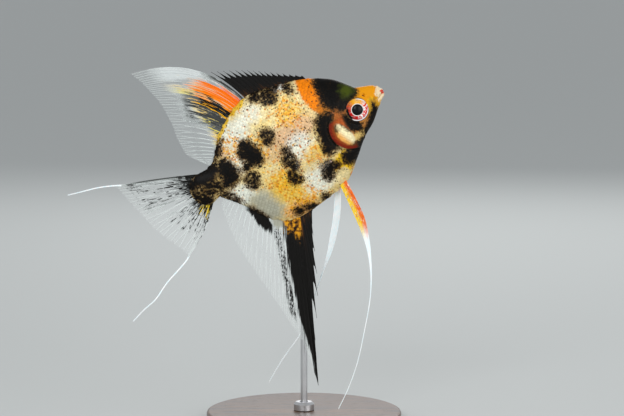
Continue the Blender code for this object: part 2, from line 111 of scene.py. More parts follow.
class Finish:
    """A material whose nodes are added one by one around its Principled shader."""

    def __init__(self, name, constants):
        self.material = bpy.data.materials.new(name)
        self.material.use_nodes = True
        self.tree = self.material.node_tree
        self.set(constants)

    def fill(self, socket, value):
        if isinstance(value, Wire):
            self.tree.links.new(value.socket, socket)
        else:
            socket.default_value = (*value, 1.0) if socket.type == "RGBA" else value

    def set(self, sockets):
        for name, value in sockets.items():
            self.fill(self.tree.nodes["Principled BSDF"].inputs[name], value)

    def node(self, kind, settings, inputs, output=0):
        """Adds a node.  Its inputs come by name, or in order; output picks among those it has."""
        made = self.tree.nodes.new("ShaderNode" + kind)
        for name, value in settings.items():
            setattr(made, name, value)
        live = [socket for socket in made.inputs if socket.enabled]
        if isinstance(inputs, dict):
            named = {socket.name: socket for socket in reversed(live)}
            live, inputs = [named[name] for name in inputs], inputs.values()
        for socket, value in zip(live, inputs):
            self.fill(socket, value)
        return Wire(self, [socket for socket in made.outputs if socket.enabled][output])

    def place(self):
        """Object coordinates, in metres."""
        return self.node("TexCoord", {}, (), output=3)

    def bump(self, height, distance):
        """Height is counted in distances, and distance is in metres."""
        sockets = {"Height": height, "Distance": distance, "Strength": 1.0}
        self.set({"Normal": self.node("Bump", {}, sockets)})


STAND_WOOD = Finish("stained_walnut", {"Coat Weight": 0.35, "Coat Roughness": 0.22})
GRAIN_SIZE, PORE_SIZE = (0.030, 0.0045, 0.0045), (0.004, 0.0003, 0.0006)
along_grain = STAND_WOOD.place().framed(size=GRAIN_SIZE)
rings = along_grain.shifted(along_grain.noise(1.3, 3, colour=True), (0.9, 0.9, 0.9))
figure = STAND_WOOD.node(
    "TexWave",
    {"wave_type": "RINGS", "rings_direction": "X"},
    {"Vector": rings, "Scale": 0.75, "Distortion": 2.2, "Detail": 2.0},
    output=1,
)
open_pores = STAND_WOOD.place().framed(size=PORE_SIZE).noise(1.0, 3).step(0.62, 0.72)
walnut = figure.step(0.1, 0.9).mix((0.050, 0.024, 0.012), (0.155, 0.078, 0.036))
STAND_WOOD.set(
    {
        "Base Color": (open_pores * 0.7).mix(walnut, (0.018, 0.009, 0.005)),
        "Roughness": 0.34 + 0.14 * open_pores + 0.06 * figure,
    }
)
STAND_WOOD.bump(0.3 * figure - open_pores, 0.00006)

STAND_STEEL = Finish("brushed_steel", {"Metallic": 1.0})
BRUSH_MARK = (0.0030, 0.0030, 0.00008)
brushing = STAND_STEEL.place().framed(size=BRUSH_MARK).noise(1.0, 3)
smears = STAND_STEEL.place().noise(160.0, 2)
STAND_STEEL.set(
    {
        "Base Color": smears.mix((0.52, 0.52, 0.54), (0.68, 0.68, 0.68)),
        "Roughness": 0.24 + 0.12 * brushing + 0.08 * smears,
    }
)
STAND_STEEL.bump(brushing, 0.000012)

for node_name, finish in (
    ("stand_base", STAND_WOOD), ("stand_collar", STAND_STEEL), ("stand_rod", STAND_STEEL),
):
    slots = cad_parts[node_name].data.materials
    slots.clear()
    slots.append(finish.material)

# ==== The body's skin ============================================================================
# One closed skin over head, jaws, gill covers, trunk and tail stem, so that no seam shows.  It lies
# a scale's thickness inside the solids, and carries the mouth, lips, nostrils, gill plates and the
# sockets of the eyes as real relief.
FISH_UNIT = 0.00075  # a hundredth of the body's 75 mm
PITCH = math.radians(29)
TAIL_BASE = (-0.0365, -0.0035, 0.0860)
HALF_WIDEST = 0.0148 / 2 / FISH_UNIT
COAT_DEPTH = 0.16
STEM_TIP, SNOUT_TIP = -6.5, 100.0
STEM_CLOSING, SNOUT_CLOSING, LEAST_HALF = 4.5, 0.4, 0.12
BEFORE_SNOUT, SURFACE_STEP = 99.9, 0.02
place_fish = np.array(Matrix.Translation(TAIL_BASE) @ Matrix.Rotation(-PITCH, 4, "Y"))


def in_metres(points):
    """Fish points (forward, left, up) in hundredths, placed over the stand in metres."""
    return np.asarray(points) * FISH_UNIT @ place_fish[:3, :3].T + place_fish[:3, 3]


def corners_of(piece):
    return np.array([v.co for v in piece.data.vertices])


def move_corners(piece, points):
    """Puts a piece's corners at fish points."""
    piece.data.vertices.foreach_set("co", in_metres(points).ravel())
    piece.data.update()


def line_through(points):
    """The smooth line through (x, y) points, which never swings past them."""
    xs, ys = np.array(sorted(points), float).T
    steps = np.diff(xs)
    slopes = np.diff(ys) / steps
    before, after = slopes[:-1], slopes[1:]
    rising = before * after > 0
    inner = np.where(rising, 2 * before * after / np.where(rising, before + after, 1), 0)
    tangents = np.concatenate([slopes[:1], inner, slopes[-1:]])

    def value(x):
        x = np.clip(x, xs[0], xs[-1])
        i = np.clip(np.searchsorted(xs, x, "right") - 1, 0, len(steps) - 1)
        t = (x - xs[i]) / steps[i]
        start = (1 + 2 * t) * (1 - t) ** 2 * ys[i] + t * (1 - t) ** 2 * steps[i] * tangents[i]
        end = t * t * (3 - 2 * t) * ys[i + 1] - t * t * (1 - t) * steps[i] * tangents[i + 1]
        return start + end

    return value


back_line = line_through(
    [(-6.5, 7.6), (-3, 7.2), (0, 8.6), (6, 8.6), (10.3, 10.2), (16.4, 16.8), (21, 21.4), (30, 26.8),
     (36.5, 29.6), (42, 30.4), (55, 28.0), (68, 24.4), (80, 17.9), (86.7, 10.7), (88.4, 8.6),
     (92, 7.1), (96, 5.5), (98.6, 3.4), (100, 0.3)]
)
belly_line = line_through(
    [(-6.5, -6.8), (-3, -6.2), (0, -7.8), (5.6, -6.5), (9.3, -10.4), (14.7, -17.6), (22, -27.6),
     (28, -32.2), (36, -34.2), (46, -33.4), (58.8, -31.2), (64, -29.6), (73.3, -22.2),
     (81.3, -15.2), (89.3, -9.9), (95, -4.9), (98.6, -1.9), (100, -0.1)]
)
middle_line = line_through([(-3, 0.6), (6, 0.8), (30, -1.5), (60, -2.5), (84, -1.2), (100, 0.1)])
half_width = line_through(
    [(-6.5, 0.05), (-3, 0.16), (0, 0.25), (6, 0.33), (18, 0.50), (32, 0.74), (46, 0.95), (58, 1.0),
     (70, 0.94), (80, 0.71), (86, 0.56), (92, 0.40), (97, 0.28), (99.3, 0.14), (100, 0.02)]
)
ridge_sharpness = line_through([(-3, 1.0), (20, 1.25), (62, 1.25), (86, 1.0), (100, 0.9)])


def body_at(forward, turn):
    """The bare body, a coat's depth in.  The turn is 0 on the left flank and 90 degrees on the back."""
    rise, side = np.sin(turn), np.cos(turn)
    from_end = np.clip((forward - STEM_TIP) / STEM_CLOSING, 0, 1)
    from_snout = np.clip((SNOUT_TIP - forward) / SNOUT_CLOSING, 0, 1)
    closing = np.sqrt(from_snout * from_end * (2 - from_end))
    middle = middle_line(forward)
    edge = np.where(rise > 0, back_line(forward) - COAT_DEPTH, belly_line(forward) + COAT_DEPTH)
    half = np.maximum(half_width(forward) * HALF_WIDEST - COAT_DEPTH, LEAST_HALF) * closing
    left = np.sign(side) * np.abs(side) ** ridge_sharpness(forward) * half
    return np.stack([forward, left, middle + (edge - middle) * np.abs(rise) * closing], -1)


def eased(x, low, high):
    t = np.clip((x - low) / (high - low), 0, 1)
    return t * t * (3 - 2 * t)


def ridge(distance, width):
    """A soft ridge that is 1 high where the distance is 0."""
    return np.exp(-((distance / width) ** 2))


def unit(vectors):
    return vectors / np.maximum(np.linalg.norm(vectors, axis=-1, keepdims=True), 1e-12)


def from_path(forward, up, path):
    """How far each place seen from the side lies from a path of straight stretches."""
    nearest = np.full(np.shape(forward), 1e9)
    for (x0, z0), (x1, z1) in zip(path, path[1:]):
        run, rise = x1 - x0, z1 - z0
        share = np.clip(((forward - x0) * run + (up - z0) * rise) / (run**2 + rise**2), 0, 1)
        nearest = np.minimum(nearest, np.hypot(forward - x0 - share * run, up - z0 - share * rise))
    return nearest


def apart(forward, up, centre):
    """How far each place seen from the side lies from a centre."""
    return np.hypot(forward - centre[0], up - centre[1])


EYE_CENTRE, EYE_OPENING, EYE_TALLER, SOCKET_DEPTH = (84.2, -1.2), 5.55, 1.10, 2.6
NOSTRIL = (90.6, 3.3)
GILL_CENTRE, COVER_RADIUS = (77.7, -7.0), 11.0
COVER_FRONT = [-17.4, -13.5, -8.0, -2.4, 2.4], [78.2, 78.4, 77.4, 74.6, 73.2]
THROAT_FOLDS = (12.6, 14.0, 15.4)
GAPE = [(94.9, -2.1), (97.4, -0.9), (101.0, 0.6)]
LIP = [(97.9, 5.2), (96.5, 2.0), (94.6, -2.0), (94.0, -5.4)]
JAW = [(94.4, -2.4), (92.2, -5.0), (89.4, -7.4)]
PREOPERCLE = [(75.6, 9.0), (74.2, 3.6), (75.6, -1.8), (78.0, -8.0), (79.0, -13.6), (83.0, -16.4)]
COVER_PLATE = [(75.4, 2.2), (73.0, -4.0), (73.2, -11.0), (75.8, -16.6)]
BROW = [(76.5, 6.2), (80.5, 7.4), (85.5, 7.0), (90.0, 4.8)]
FOLDS = [  # (height, width, shift forward, path)
    (0.26, 1.0, 0, PREOPERCLE), (-0.34, 0.36, 0.8, PREOPERCLE), (0.22, 0.8, 0, COVER_PLATE),
    (0.26, 0.9, 0, BROW), (-0.42, 0.34, 0, LIP), (0.20, 0.6, 0.9, LIP), (-0.36, 0.36, 0, JAW),
]
BUMPS = [  # (height, forward, up, half length, half height): cheek, fin roots, nostril and pores
    (0.45, 83.5, -10.0, 5.5, 2.6), (0.5, 63.6, -14.8, 2.2, 3.6), (0.5, 60.2, -28.6, 4.0, 2.2),
    (-0.85, *NOSTRIL, 0.42, 0.42), (-0.24, 88.0, -7.6, 0.28, 0.28), (-0.24, 85.4, -9.2, 0.28, 0.28),
    (-0.24, 91.4, -1.0, 0.28, 0.28), (-0.24, 91.8, 1.6, 0.28, 0.28), (-0.24, 86.6, 8.0, 0.28, 0.28),
    (-0.24, 81.0, 9.6, 0.28, 0.28),
]


def relief(forward, up):
    """How far the skin stands out of the bare body, seen from the side: the head's forms and folds."""
    from_gill = apart(forward, up, GILL_CENTRE)
    from_rim = from_gill - COVER_RADIUS
    angle = np.degrees(np.arctan2(up - GILL_CENTRE[1], forward - GILL_CENTRE[0])) % 360
    behind = eased(np.interp(up, *COVER_FRONT) - forward, -1.0, 2.4)
    cover = 0.48 * behind * eased(-from_rim, -0.10, 0.42)
    cover -= 0.42 * ridge(from_rim - 0.42, 0.5) + 0.16 * ridge(from_rim + 1.1, 0.35)
    out = eased(angle, 95, 118) * (1 - eased(angle, 258, 276)) * cover
    for ring in THROAT_FOLDS:
        low = eased(angle, 218, 236) * (1 - eased(angle, 262, 280))
        out += 0.13 * low * ridge(from_gill - ring, 0.4)
    for height, width, shift, path in FOLDS:
        out += height * ridge(from_path(forward - shift, up, path), width)
    for height, at_forward, at_up, long, tall in BUMPS:
        reach = np.hypot((forward - at_forward) / long, (up - at_up) / tall)
        out += height * ridge(reach, 1.0)
    from_eye = np.hypot((forward - EYE_CENTRE[0]) * EYE_TALLER, up - EYE_CENTRE[1]) - EYE_OPENING
    out += 0.34 * ridge(from_eye - 0.55, 0.55) - 0.16 * ridge(from_eye - 1.9, 0.5)
    out -= SOCKET_DEPTH * (1 - eased(from_eye, -0.75, 0))
    out += 0.24 * ridge(apart(forward, up, NOSTRIL) - 0.72, 0.28)
    from_gape = from_path(forward, up, GAPE)
    out += 0.52 * eased(forward, 94.2, 96.4) * ridge(from_gape - 1.0, 0.62)
    out -= 0.80 * eased(forward, 94.4, 95.4) * ridge(from_gape, 0.26)
    side_line = eased(forward, 4, 12) * (1 - eased(forward, 58, 66))
    return out - 0.10 * side_line * ridge(up - middle_line(forward), 1.0)


def skin_at(forward, turn):
    """Places on the skin with its relief, and which way is out of it there."""
    bare = body_at(forward, turn)
    step = SURFACE_STEP
    fore, aft = (body_at(np.clip(forward + k, STEM_TIP, BEFORE_SNOUT), turn) for k in (step, -step))
    here = np.clip(forward, STEM_TIP + 0.05, BEFORE_SNOUT)
    out = unit(np.cross(body_at(here, turn + step) - body_at(here, turn - step), fore - aft))
    thin = eased(forward, -2, 6) * (1 - 0.5 * eased(forward, 98.8, 99.8))
    off_edge, mouth = eased(np.abs(np.cos(turn)), 0.0, 0.12), eased(forward, 94.0, 96.0)
    lift = relief(bare[..., 0], bare[..., 2]) * thin * (off_edge + (1 - off_edge) * mouth)
    return bare + out * lift[..., None], out


# A ball has the skin's rings and seams, so it is pulled out to the fish: rings to stations.
SKIN_SEGMENTS, SKIN_RINGS = 256, 372
station_of = line_through([(0, STEM_TIP), (0.05, -2.6), (0.42, 64), (0.96, 98.4), (1, SNOUT_TIP)])
bpy.ops.mesh.primitive_uv_sphere_add(segments=SKIN_SEGMENTS, ring_count=SKIN_RINGS, radius=1)
skin = bpy.context.object
skin.name = "skin"
ball = corners_of(skin)
share = 1 - np.arccos(np.clip(ball[:, 2], -1, 1)) / math.pi
turn = np.arctan2(ball[:, 1], ball[:, 0])
skin_points, _ = skin_at(station_of(share), turn)
for pole, tip in ((share < 1e-4, (STEM_TIP, 0, 0.5)), (share > 1 - 1e-4, (SNOUT_TIP, 0, 0.25))):
    skin_points[pole] = tip
move_corners(skin, skin_points)
bpy.ops.object.shade_smooth()

# ==== The skin's colours =========================================================================
# A cream ground with clouds of orange, yellow, pink and silver, fine freckles, and ragged black
# marble marks.  The scales wear the same finish, so the markings run on over them.
# Ovals are (forward, up, half length, half height, tilt in degrees), and clouds have a strength.
CREAM, ORANGE, YELLOW = (0.84, 0.70, 0.36), (0.86, 0.22, 0.002), (0.88, 0.54, 0.010)
PEARL, SILVER, PINK = (0.84, 0.90, 0.84), (0.40, 0.41, 0.34), (0.72, 0.44, 0.26)
BRONZE, AMBER, GOLD = (0.55, 0.17, 0.012), (0.88, 0.34, 0.004), (0.92, 0.50, 0.01)
TAN, SAND, CHESTNUT = (0.66, 0.22, 0.03), (0.90, 0.66, 0.22), (0.42, 0.095, 0.012)
LIP_CREAM, LIP_RED, NOSTRIL_BROWN = (0.93, 0.74, 0.48), (0.78, 0.03, 0.01), (0.06, 0.015, 0.005)
CLOUDS = [
    (PEARL, 0.7, (26, 17, 10, 7, 20)), (PEARL, 0.6, (38, 22, 7, 5, 0)),
    (PINK, 0.8, (53, 5, 13, 6.5, 0)), (PINK, 0.7, (17.3, 12.7, 3.2, 3.6, 30)),
    (PINK, 0.5, (41, 0, 8, 5, 0)), (PEARL, 0.7, (52, -3, 7.5, 7, 0)),
    (PEARL, 0.8, (15.5, -11, 7, 6, 0)), (PEARL, 0.6, (20, 4, 6, 6, 0)),
    (PEARL, 0.7, (52, -22, 9, 7, 0)), (SILVER, 0.88, (23.5, -21.5, 10, 9.6, 25)),
    (YELLOW, 0.5, (57, -9, 6.5, 4.6, 0)), (YELLOW, 0.7, (37, -18, 9.5, 9, -30)),
    (YELLOW, 0.3, (54.5, 14, 7.5, 6, 0)), (ORANGE, 0.5, (38, -30, 9, 4.4, -4)),
    (YELLOW, 0.9, (33.4, 28, 6.5, 1.5, 24)), (YELLOW, 0.9, (22, 21.4, 9, 1.5, 38)),
    (YELLOW, 1.0, (67, -20, 6.4, 4.6, 38)), (CREAM, 0.9, (62.5, -25.5, 5, 2.6, 38)),
    (ORANGE, 0.9, (70.5, -26.5, 6, 1.8, 40)), (CREAM, 0.9, (63.2, 18, 3.2, 8, 0)),
    (PEARL, 1.0, (56, 27.2, 4, 2.6, -8)), (ORANGE, 1.0, (68.8, 16.5, 5.2, 11.5, 8)),
    (BRONZE, 0.95, (70.6, 6.4, 4.2, 5.4, 0)), (AMBER, 1.0, (92.5, 2.6, 8, 7, 0)),
    (GOLD, 0.9, (90, -3.8, 5.6, 1.8, 55)), ((0.90, 0.46, 0.01), 0.95, (94.4, -2.9, 2.6, 1.9, 50)),
    (TAN, 0.9, (82, -9, 9, 6, 0)), (SAND, 0.9, (79.8, -13.2, 3.4, 3, 0)),
    (CHESTNUT, 0.95, (75.4, 1.8, 5, 4.6, 0)), (LIP_CREAM, 1.0, (98.3, 0.6, 2.6, 4.6, -29)),
    (LIP_RED, 0.95, (99.8, 0.2, 1.3, 1.2, 0)), (NOSTRIL_BROWN, 1.0, (90.6, 3.3, 0.55, 0.5, 0)),
]
GOLDEN = [
    (54, 14, 9, 9, 0), (36, -14, 9, 11, 0), (40, -27, 12, 7, 0), (57, -10, 8, 7, 0),
    (34, 6, 5, 9, 0), (22, 12, 6, 8, 0),
]
COVER_CREAM, HEAD_SHEEN = (73.4, -8.9, 3.2, 7.0, 18), (84.4, 9.2, 4.8, 4.6, -40)
CROWDED_FRECKLES = (56, 9, 12, 13, 0)
MARKS = [
    (28.9, 5.6, 3.6, 6.4, 6), (31, 3, 2.4, 4.4, 0), (25.4, 0.4, 3, 1.6, 20), (26, 7, 2.4, 2.6, 0),
    (40.3, 8.8, 2.5, 3.1, 0), (39.3, 6.2, 1.5, 1.3, 0), (23.6, -6, 3.2, 2.6, 0),
    (23, -8, 2.2, 2.6, 0), (43.8, -6.6, 2.7, 3.2, 0), (44.5, -2.4, 1.7, 1.8, 0),
    (44.8, -9.6, 1.9, 2.2, 0), (42.6, -14.4, 2.2, 2.3, 0), (41.4, -16.6, 1.7, 1.4, 0),
    (43.6, -17.2, 1.5, 1.3, 0), (59, -19.2, 3.4, 2.9, -10), (57, -22, 1.9, 2.4, 0),
    (62.4, -20, 2, 1.6, 0), (71.2, -19.4, 4.4, 3.4, 0), (75.2, -18.4, 4.4, 2.9, 14),
    (79.2, -16.6, 2.8, 1.3, 32), (69, 2, 3.4, 2.8, 0), (66.4, 0.4, 3.2, 4, 0),
    (64.6, -5.2, 2.4, 5.2, 0), (63.6, -10.4, 2.4, 3.4, -20), (67.2, -3.4, 3.6, 3.4, 0),
    (66.6, -9, 2, 3.6, 0), (76, 17, 4.2, 5.6, 0), (80.6, 12.6, 5.4, 5, -45),
    (76.4, 10.4, 4.8, 6, 0), (84.6, 8.9, 3.2, 2.4, -45), (83, 10.4, 5, 4.4, -45),
    (79.4, 5, 3.2, 3.4, 0), (82, 6.4, 4, 2.6, 0), (79.4, -7, 4, 2.4, -48),
    (77.4, -3.6, 1.7, 2.6, 10), (92, -3.9, 0.4, 1.5, -20), (91, -6.8, 2.5, 1.2, 42),
    (88.4, -9, 3.2, 1.2, 38), (84.6, -12, 2.6, 1.1, 36), (87.3, 6.4, 0.8, 0.7, 0),
    (6.4, 5.6, 5.8, 3.4, 0), (14.8, 3.4, 3.8, 5.4, 0), (16.6, 0.6, 2.6, 3, 0),
    (13.2, -2, 4.4, 2.4, 0), (0, 5, 6, 3.6, 0), (-0.5, -3.2, 3.2, 3.4, 0),
    (6, -1.4, 4.2, 2.2, 0), (1, 1.4, 4.6, 3.6, 0), (15.2, 14, 4.2, 1.3, 44),
    (5.5, 8.6, 6.4, 1.9, 0), (9.4, -9.6, 4.8, 2.3, -55), (49.6, 25.4, 3.4, 4.2, 10),
    (46, 28, 4.6, 2.6, 0), (53, 28, 2.8, 2.8, 0), (59.8, 24.6, 1.1, 2.6, 10),
    (17, -25, 2.6, 7.6, 22), (36, -30.8, 1.7, 1.4, 0), (42.4, -32.2, 2.4, 0.9, -10),
    (50.6, -31, 1.2, 1, 0), (-2, -5.2, 3.4, 2.6, 0), (-3.6, 0.5, 2.6, 4.6, 0),
]
SOFTER = [  # where marks are thin, with brown between their black
    (40, 7.8, 4.4, 5.2), (43.9, -3.2, 4, 3), (44.2, -8.2, 3.6, 3.2), (42.5, -15.6, 4.4, 3.8),
    (23.2, -7.2, 4.4, 4.2), (49.6, 26.4, 5.5, 5), (9.4, -8, 4.6, 5), (9, 1.4, 3, 3.4),
    (59.8, 24.6, 3, 5), (-1.4, 0.6, 3.6, 3.4), (3.6, -3, 3.6, 2.6),
]
MARK_BLEND, SOFT_DEPTH = 0.5, -0.10
LEFT_FLANK = (0.6, 3.2)
drift = np.random.default_rng(5)


def drifted(mark):
    """A mark of the right flank as it is on the left one: moved a little on the open body."""
    f, u, a, b, t = mark
    if not (8 < f < 72 and abs(u) < 22):
        return mark
    return f + drift.uniform(-4, 4), u + drift.uniform(-3, 3), a * 1.05, b * 0.95, -t


LEFT_MARKS = [drifted(mark) for mark in MARKS]


def outside_marks(points):
    """How far each place lies outside the nearest black mark, and below zero within one."""
    found = []
    for marks in (MARKS, LEFT_MARKS):
        crowd = 0
        for forward, up, long, tall, tilt in marks:
            cos, sin = math.cos(math.radians(tilt)), math.sin(math.radians(tilt))
            ahead, above = points[..., 0] - forward, points[..., 2] - up
            along, across = (ahead * cos + above * sin) / long, (above * cos - ahead * sin) / tall
            reach = np.hypot(along, across)
            slope = np.maximum(np.hypot(along / long, across / tall), 1e-6)
            crowd = crowd + np.exp(-np.clip(reach * (reach - 1) / slope, -9, 30) / MARK_BLEND)
        outside = -MARK_BLEND * np.log(crowd + 1e-12)
        for forward, up, long, tall in SOFTER:
            reach = np.hypot((points[..., 0] - forward) / long, (points[..., 2] - up) / tall)
            outside = np.maximum(outside, SOFT_DEPTH - 6 * np.clip(reach - 0.9, 0, 1))
        found.append(outside)
    on_left = eased(points[..., 1], *LEFT_FLANK)
    return np.clip(found[0] * (1 - on_left) + found[1] * on_left, -6, 9)


def store(piece, name, values):
    """Stores a value for each corner of a piece, for its finish to read."""
    values = np.ascontiguousarray(values, np.float32).ravel()
    piece.data.attributes.new(name, "FLOAT", "POINT").data.foreach_set("value", values)


def stored(finish, name):
    return finish.node("Attribute", {"attribute_name": name}, (), output=2)


def in_fish(finish):
    """Object coordinates seen in the fish's own axes, in hundredths of its length."""
    return finish.place().framed(TAIL_BASE, (0, -PITCH, 0), (FISH_UNIT,) * 3)


def joined(finish, *values):
    return finish.node("CombineXYZ", {}, values)


def from_oval(place, oval):
    """1 on an oval's rim and 0 at its centre, seen from the side."""
    forward, up, long, tall, tilt = oval
    seen = place.framed((forward, 0, up), (0, -math.radians(tilt), 0), (long, 1e4, tall))
    return seen.vector_math("LENGTH")


def wandering(place, *noise):
    """A direction that wanders from place to place."""
    return place.noise(*noise, colour=True).vector_math("SUBTRACT", (0.5, 0.5, 0.5))


def layered(ground, *coats):
    """A ground colour under coats, each of them the share it covers and its colour."""
    for share, tint in coats:
        ground = share.mix(ground, tint)
    return ground


def marble_colours(finish):
    """The colour of the skin, how black it is, and its fine noise, at each place of the fish."""
    place = in_fish(finish)
    forward, left, up = place.parted()
    on_left = left.step(*LEFT_FLANK) * forward.step(72, 58)
    strayed = place.shifted(wandering(place, 0.055, 1), joined(finish, on_left * 9, 0.0, on_left * 8))
    ragged = wandering(strayed, 0.42, 4, 0.62)
    fine = strayed.noise(1.5, 3, 0.7)
    outside = stored(finish, "outside_marks")
    soft, crisp = strayed.shifted(ragged, (6.5, 0.0, 6.5)), strayed.shifted(ragged, (0.9, 0.0, 0.9))

    def specks(scale, seed):
        """Cells of a scale's size: how far from each one's middle, and a chance of its own."""
        cells = {"Vector": crisp.shifted((1.0, 1.0, 1.0), (seed,) * 3), "Scale": scale, "Randomness": 0.9}
        near, own = (finish.node("TexVoronoi", {}, cells, output=k) for k in (0, 1))
        chance, _, size = own.parted()
        return near + (size - 0.5) * 0.22, chance

    colour = strayed.noise(0.16, 3).step(0.35, 0.65).mix(CREAM, (0.86, 0.66, 0.26))
    for tint, strength, oval in CLOUDS:
        cloud = from_oval(soft, oval) + (fine - 0.5) * 0.35
        outer, inner = (1.14, 0.78) if strength >= 0.9 else (1.30, 0.50)
        colour = (cloud.step(outer, inner) * strength).mix(colour, tint)
        if tint == SILVER:
            off_silver = cloud.step(0.75, 1.05)

    from_golden, *others = [from_oval(strayed, oval) for oval in GOLDEN]
    for other in others:
        from_golden = from_golden.least(other)
    zone = from_golden.step(1.35, 0.35)
    dapple = strayed.noise(0.55, 4, 0.7)
    golden = (fine - 0.1 * dapple).step(0.38, 0.58).mix((0.84, 0.28, 0.004), (0.88, 0.56, 0.02))
    dappled = (dapple + zone * 0.13).step(0.57, 0.68) * forward.step(67, 61) * off_silver

    from_gill = from_oval(place.shifted(ragged, (0.7, 0.0, 0.7)), (*GILL_CENTRE, 1, 1, 0))
    crescent = from_gill.step(10.9, 10.3) * forward.step(77.4, 75.0) * up.step(0.2, -1.2)
    deep_red = from_gill.step(7.0, 10.4).mix((0.40, 0.085, 0.014), (0.20, 0.012, 0.004))
    cream = from_oval(place.shifted(ragged, (1.2, 0.0, 1.2)), COVER_CREAM)
    cover_cream = (forward + up * 0.4).step(67.4, 70.4).mix((0.86, 0.42, 0.10), (0.95, 0.84, 0.50))

    calm = 0.35 + 0.65 * forward.step(80, 69)
    tear, _, tear_up = ragged.parted()
    outside = outside + (tear * 3.8 + tear_up * 2.0) * calm + (fine - 0.5) * 1.5 - 0.45
    patchy = strayed.noise(0.10, 2).step(0.40, 0.62)
    crowded = from_oval(soft, CROWDED_FRECKLES).step(1.15, 0.5)
    body_only = forward.step(84, 78) * from_gill.step(9.5, 11.5) * off_silver

    near, own = specks(0.78, 3.0)
    often = (own + 0.01 + 0.16 * patchy + 0.22 * zone).step(0.96, 1.04) * body_only
    ginger = (near + fine * 0.3).step(0.62, 0.46) * often
    near, own = specks(1.02, 11.0)
    often = own + 0.02 + 0.36 * crowded + 0.12 * patchy + 0.5 * outside.step(4.6, 0.6)
    brown = (near + fine * 0.3).step(0.62, 0.44) * often.step(0.96, 1.04) * body_only
    umber = (outside + (own - 0.5) * 1.8).step(0.55, -0.2)
    near, own = specks(0.95, 23.0)
    ragged_edge = ((own - 0.5) * 1.7 + (near - 0.36) * 2.4) * calm
    black = (outside + ragged_edge).step(0.35, -0.45) * (1 - 0.93 * crescent)
    thin_ink = fine.step(0.50, 0.70) * outside.step(-4.0, -0.5)
    ink = thin_ink.mix((0.0022, 0.0018, 0.0014), (0.045, 0.022, 0.005))
    ink = from_oval(soft, HEAD_SHEEN).step(1.2, 0.1).mix(ink, (0.060, 0.080, 0.005))
    colour = layered(
        colour,
        (dappled * 0.85, golden),
        (crescent, deep_red),
        (cream.step(1.14, 0.80), cover_cream),
        (ginger * 0.75, (0.62, 0.17, 0.012)),
        (brown * 0.85, (0.075, 0.030, 0.010)),
        (outside.step(1.9, 0.4) * 0.55, (0.16, 0.075, 0.016)),
        (umber * 0.85, (0.050, 0.024, 0.006)),
        (crescent * outside.step(2.2, 0.6) * cream.step(0.85, 1.14), deep_red),
        (black, ink),
    )
    return colour, black, fine


SKIN_FINISH = Finish(
    "marbled_fish_skin", {"Specular IOR Level": 0.09, "Coat Weight": 0.02, "Coat Roughness": 0.12}
)
skin_colour, skin_black, skin_grain = marble_colours(SKIN_FINISH)
scale_tone = stored(SKIN_FINISH, "scale_tone")
edge_shade = stored(SKIN_FINISH, "free_edge").step(0.55, 1.0)
shade = (0.84 + 0.26 * scale_tone) * (1 - 0.20 * edge_shade)
shaded = {"Vector": skin_colour, "Scale": shade}
SKIN_FINISH.set(
    {
        "Base Color": SKIN_FINISH.node("VectorMath", {"operation": "SCALE"}, shaded),
        "Roughness": 0.34 + 0.10 * skin_grain + 0.10 * skin_black,
        "Metallic": (1 - skin_black) * scale_tone * 0.14,
    }
)
SKIN_FINISH.bump(skin_grain, 0.00004)
store(skin, "outside_marks", outside_marks(skin_points))
skin.data.materials.append(SKIN_FINISH.material)
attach(skin, "root")
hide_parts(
    "head", "upper_jaw", "lower_jaw", "gill_cover_right", "gill_cover_left", "trunk", "tail_stem"
)

# ==== The scales =================================================================================
# Small thin plates set in the skin at their front ends, like tiles, each over the two behind it.
# One plate is shaped, and copied over both flanks, the cheeks and the gill covers.
PLATE_STEPS = 4  # squares along and across one plate
PLATE_LIFT, PLATE_THICK = 0.10, 0.10  # how far the free end stands off the skin, and how thick it is
PLATE_LONG, PLATE_WIDE = 1.42, 0.98  # counted in the spaces between plates
COAT_ENDS, COAT_EDGES, EDGE_MARGIN = (-2, 92), (-36, 36), 1.1
BAKE_PATCH = 0.003
rng = np.random.default_rng(41)


def taken_apart(piece):
    """A piece's corners and faces, once the piece itself is gone."""
    corners, faces = corners_of(piece), [tuple(face.vertices) for face in piece.data.polygons]
    bpy.data.objects.remove(piece, do_unlink=True)
    return corners, faces


def new_piece(name, points, faces, copies, uv_map, uv):
    """A piece of many copies, from all fish points, one copy's faces and each point's UV place."""
    each = len(points) // copies
    faces = [tuple(k + i * each for k in face) for i in range(copies) for face in faces]
    mesh = bpy.data.meshes.new(name)
    mesh.from_pydata(in_metres(points).tolist(), [], faces)
    corner_of = np.array([k for face in faces for k in face])
    mesh.uv_layers.new(name=uv_map).data.foreach_set("uv", uv[corner_of].ravel())
    piece = bpy.data.objects.new(name, mesh)
    bpy.context.scene.collection.objects.link(piece)
    return piece


def face_outward():
    """Turns the faces of the active closed piece outward."""
    bpy.ops.object.mode_set(mode="EDIT")
    bpy.ops.mesh.select_all(action="SELECT")
    bpy.ops.mesh.normals_make_consistent(inside=False)
    bpy.ops.object.mode_set(mode="OBJECT")


def scale_plate():
    """One plate: x from its root 0 to its free end 1, y across, z up, with its faces."""
    bpy.ops.mesh.primitive_grid_add(x_subdivisions=PLATE_STEPS, y_subdivisions=PLATE_STEPS, size=2)
    bpy.ops.object.mode_set(mode="EDIT")
    bpy.ops.mesh.extrude_region_move(TRANSFORM_OT_translate={"value": (0, 0, -1)})
    bpy.ops.object.mode_set(mode="OBJECT")
    corners, faces = taken_apart(bpy.context.object)
    x, y, top = corners[:, 0], corners[:, 1], corners[:, 2] > -0.5
    round_x = x * np.sqrt(1 - y**2 * np.where(x > 0, 0.42, 0.25))
    round_y = y * np.sqrt(1 - x**2 * 0.42)
    dome = 0.5 * (1 - round_y**2) - 0.25 * (np.maximum(np.abs(x), np.abs(y)) > 0.99)
    return np.stack([(round_x + 1) / 2, round_y, np.where(top, dome, -0.5)], -1), faces


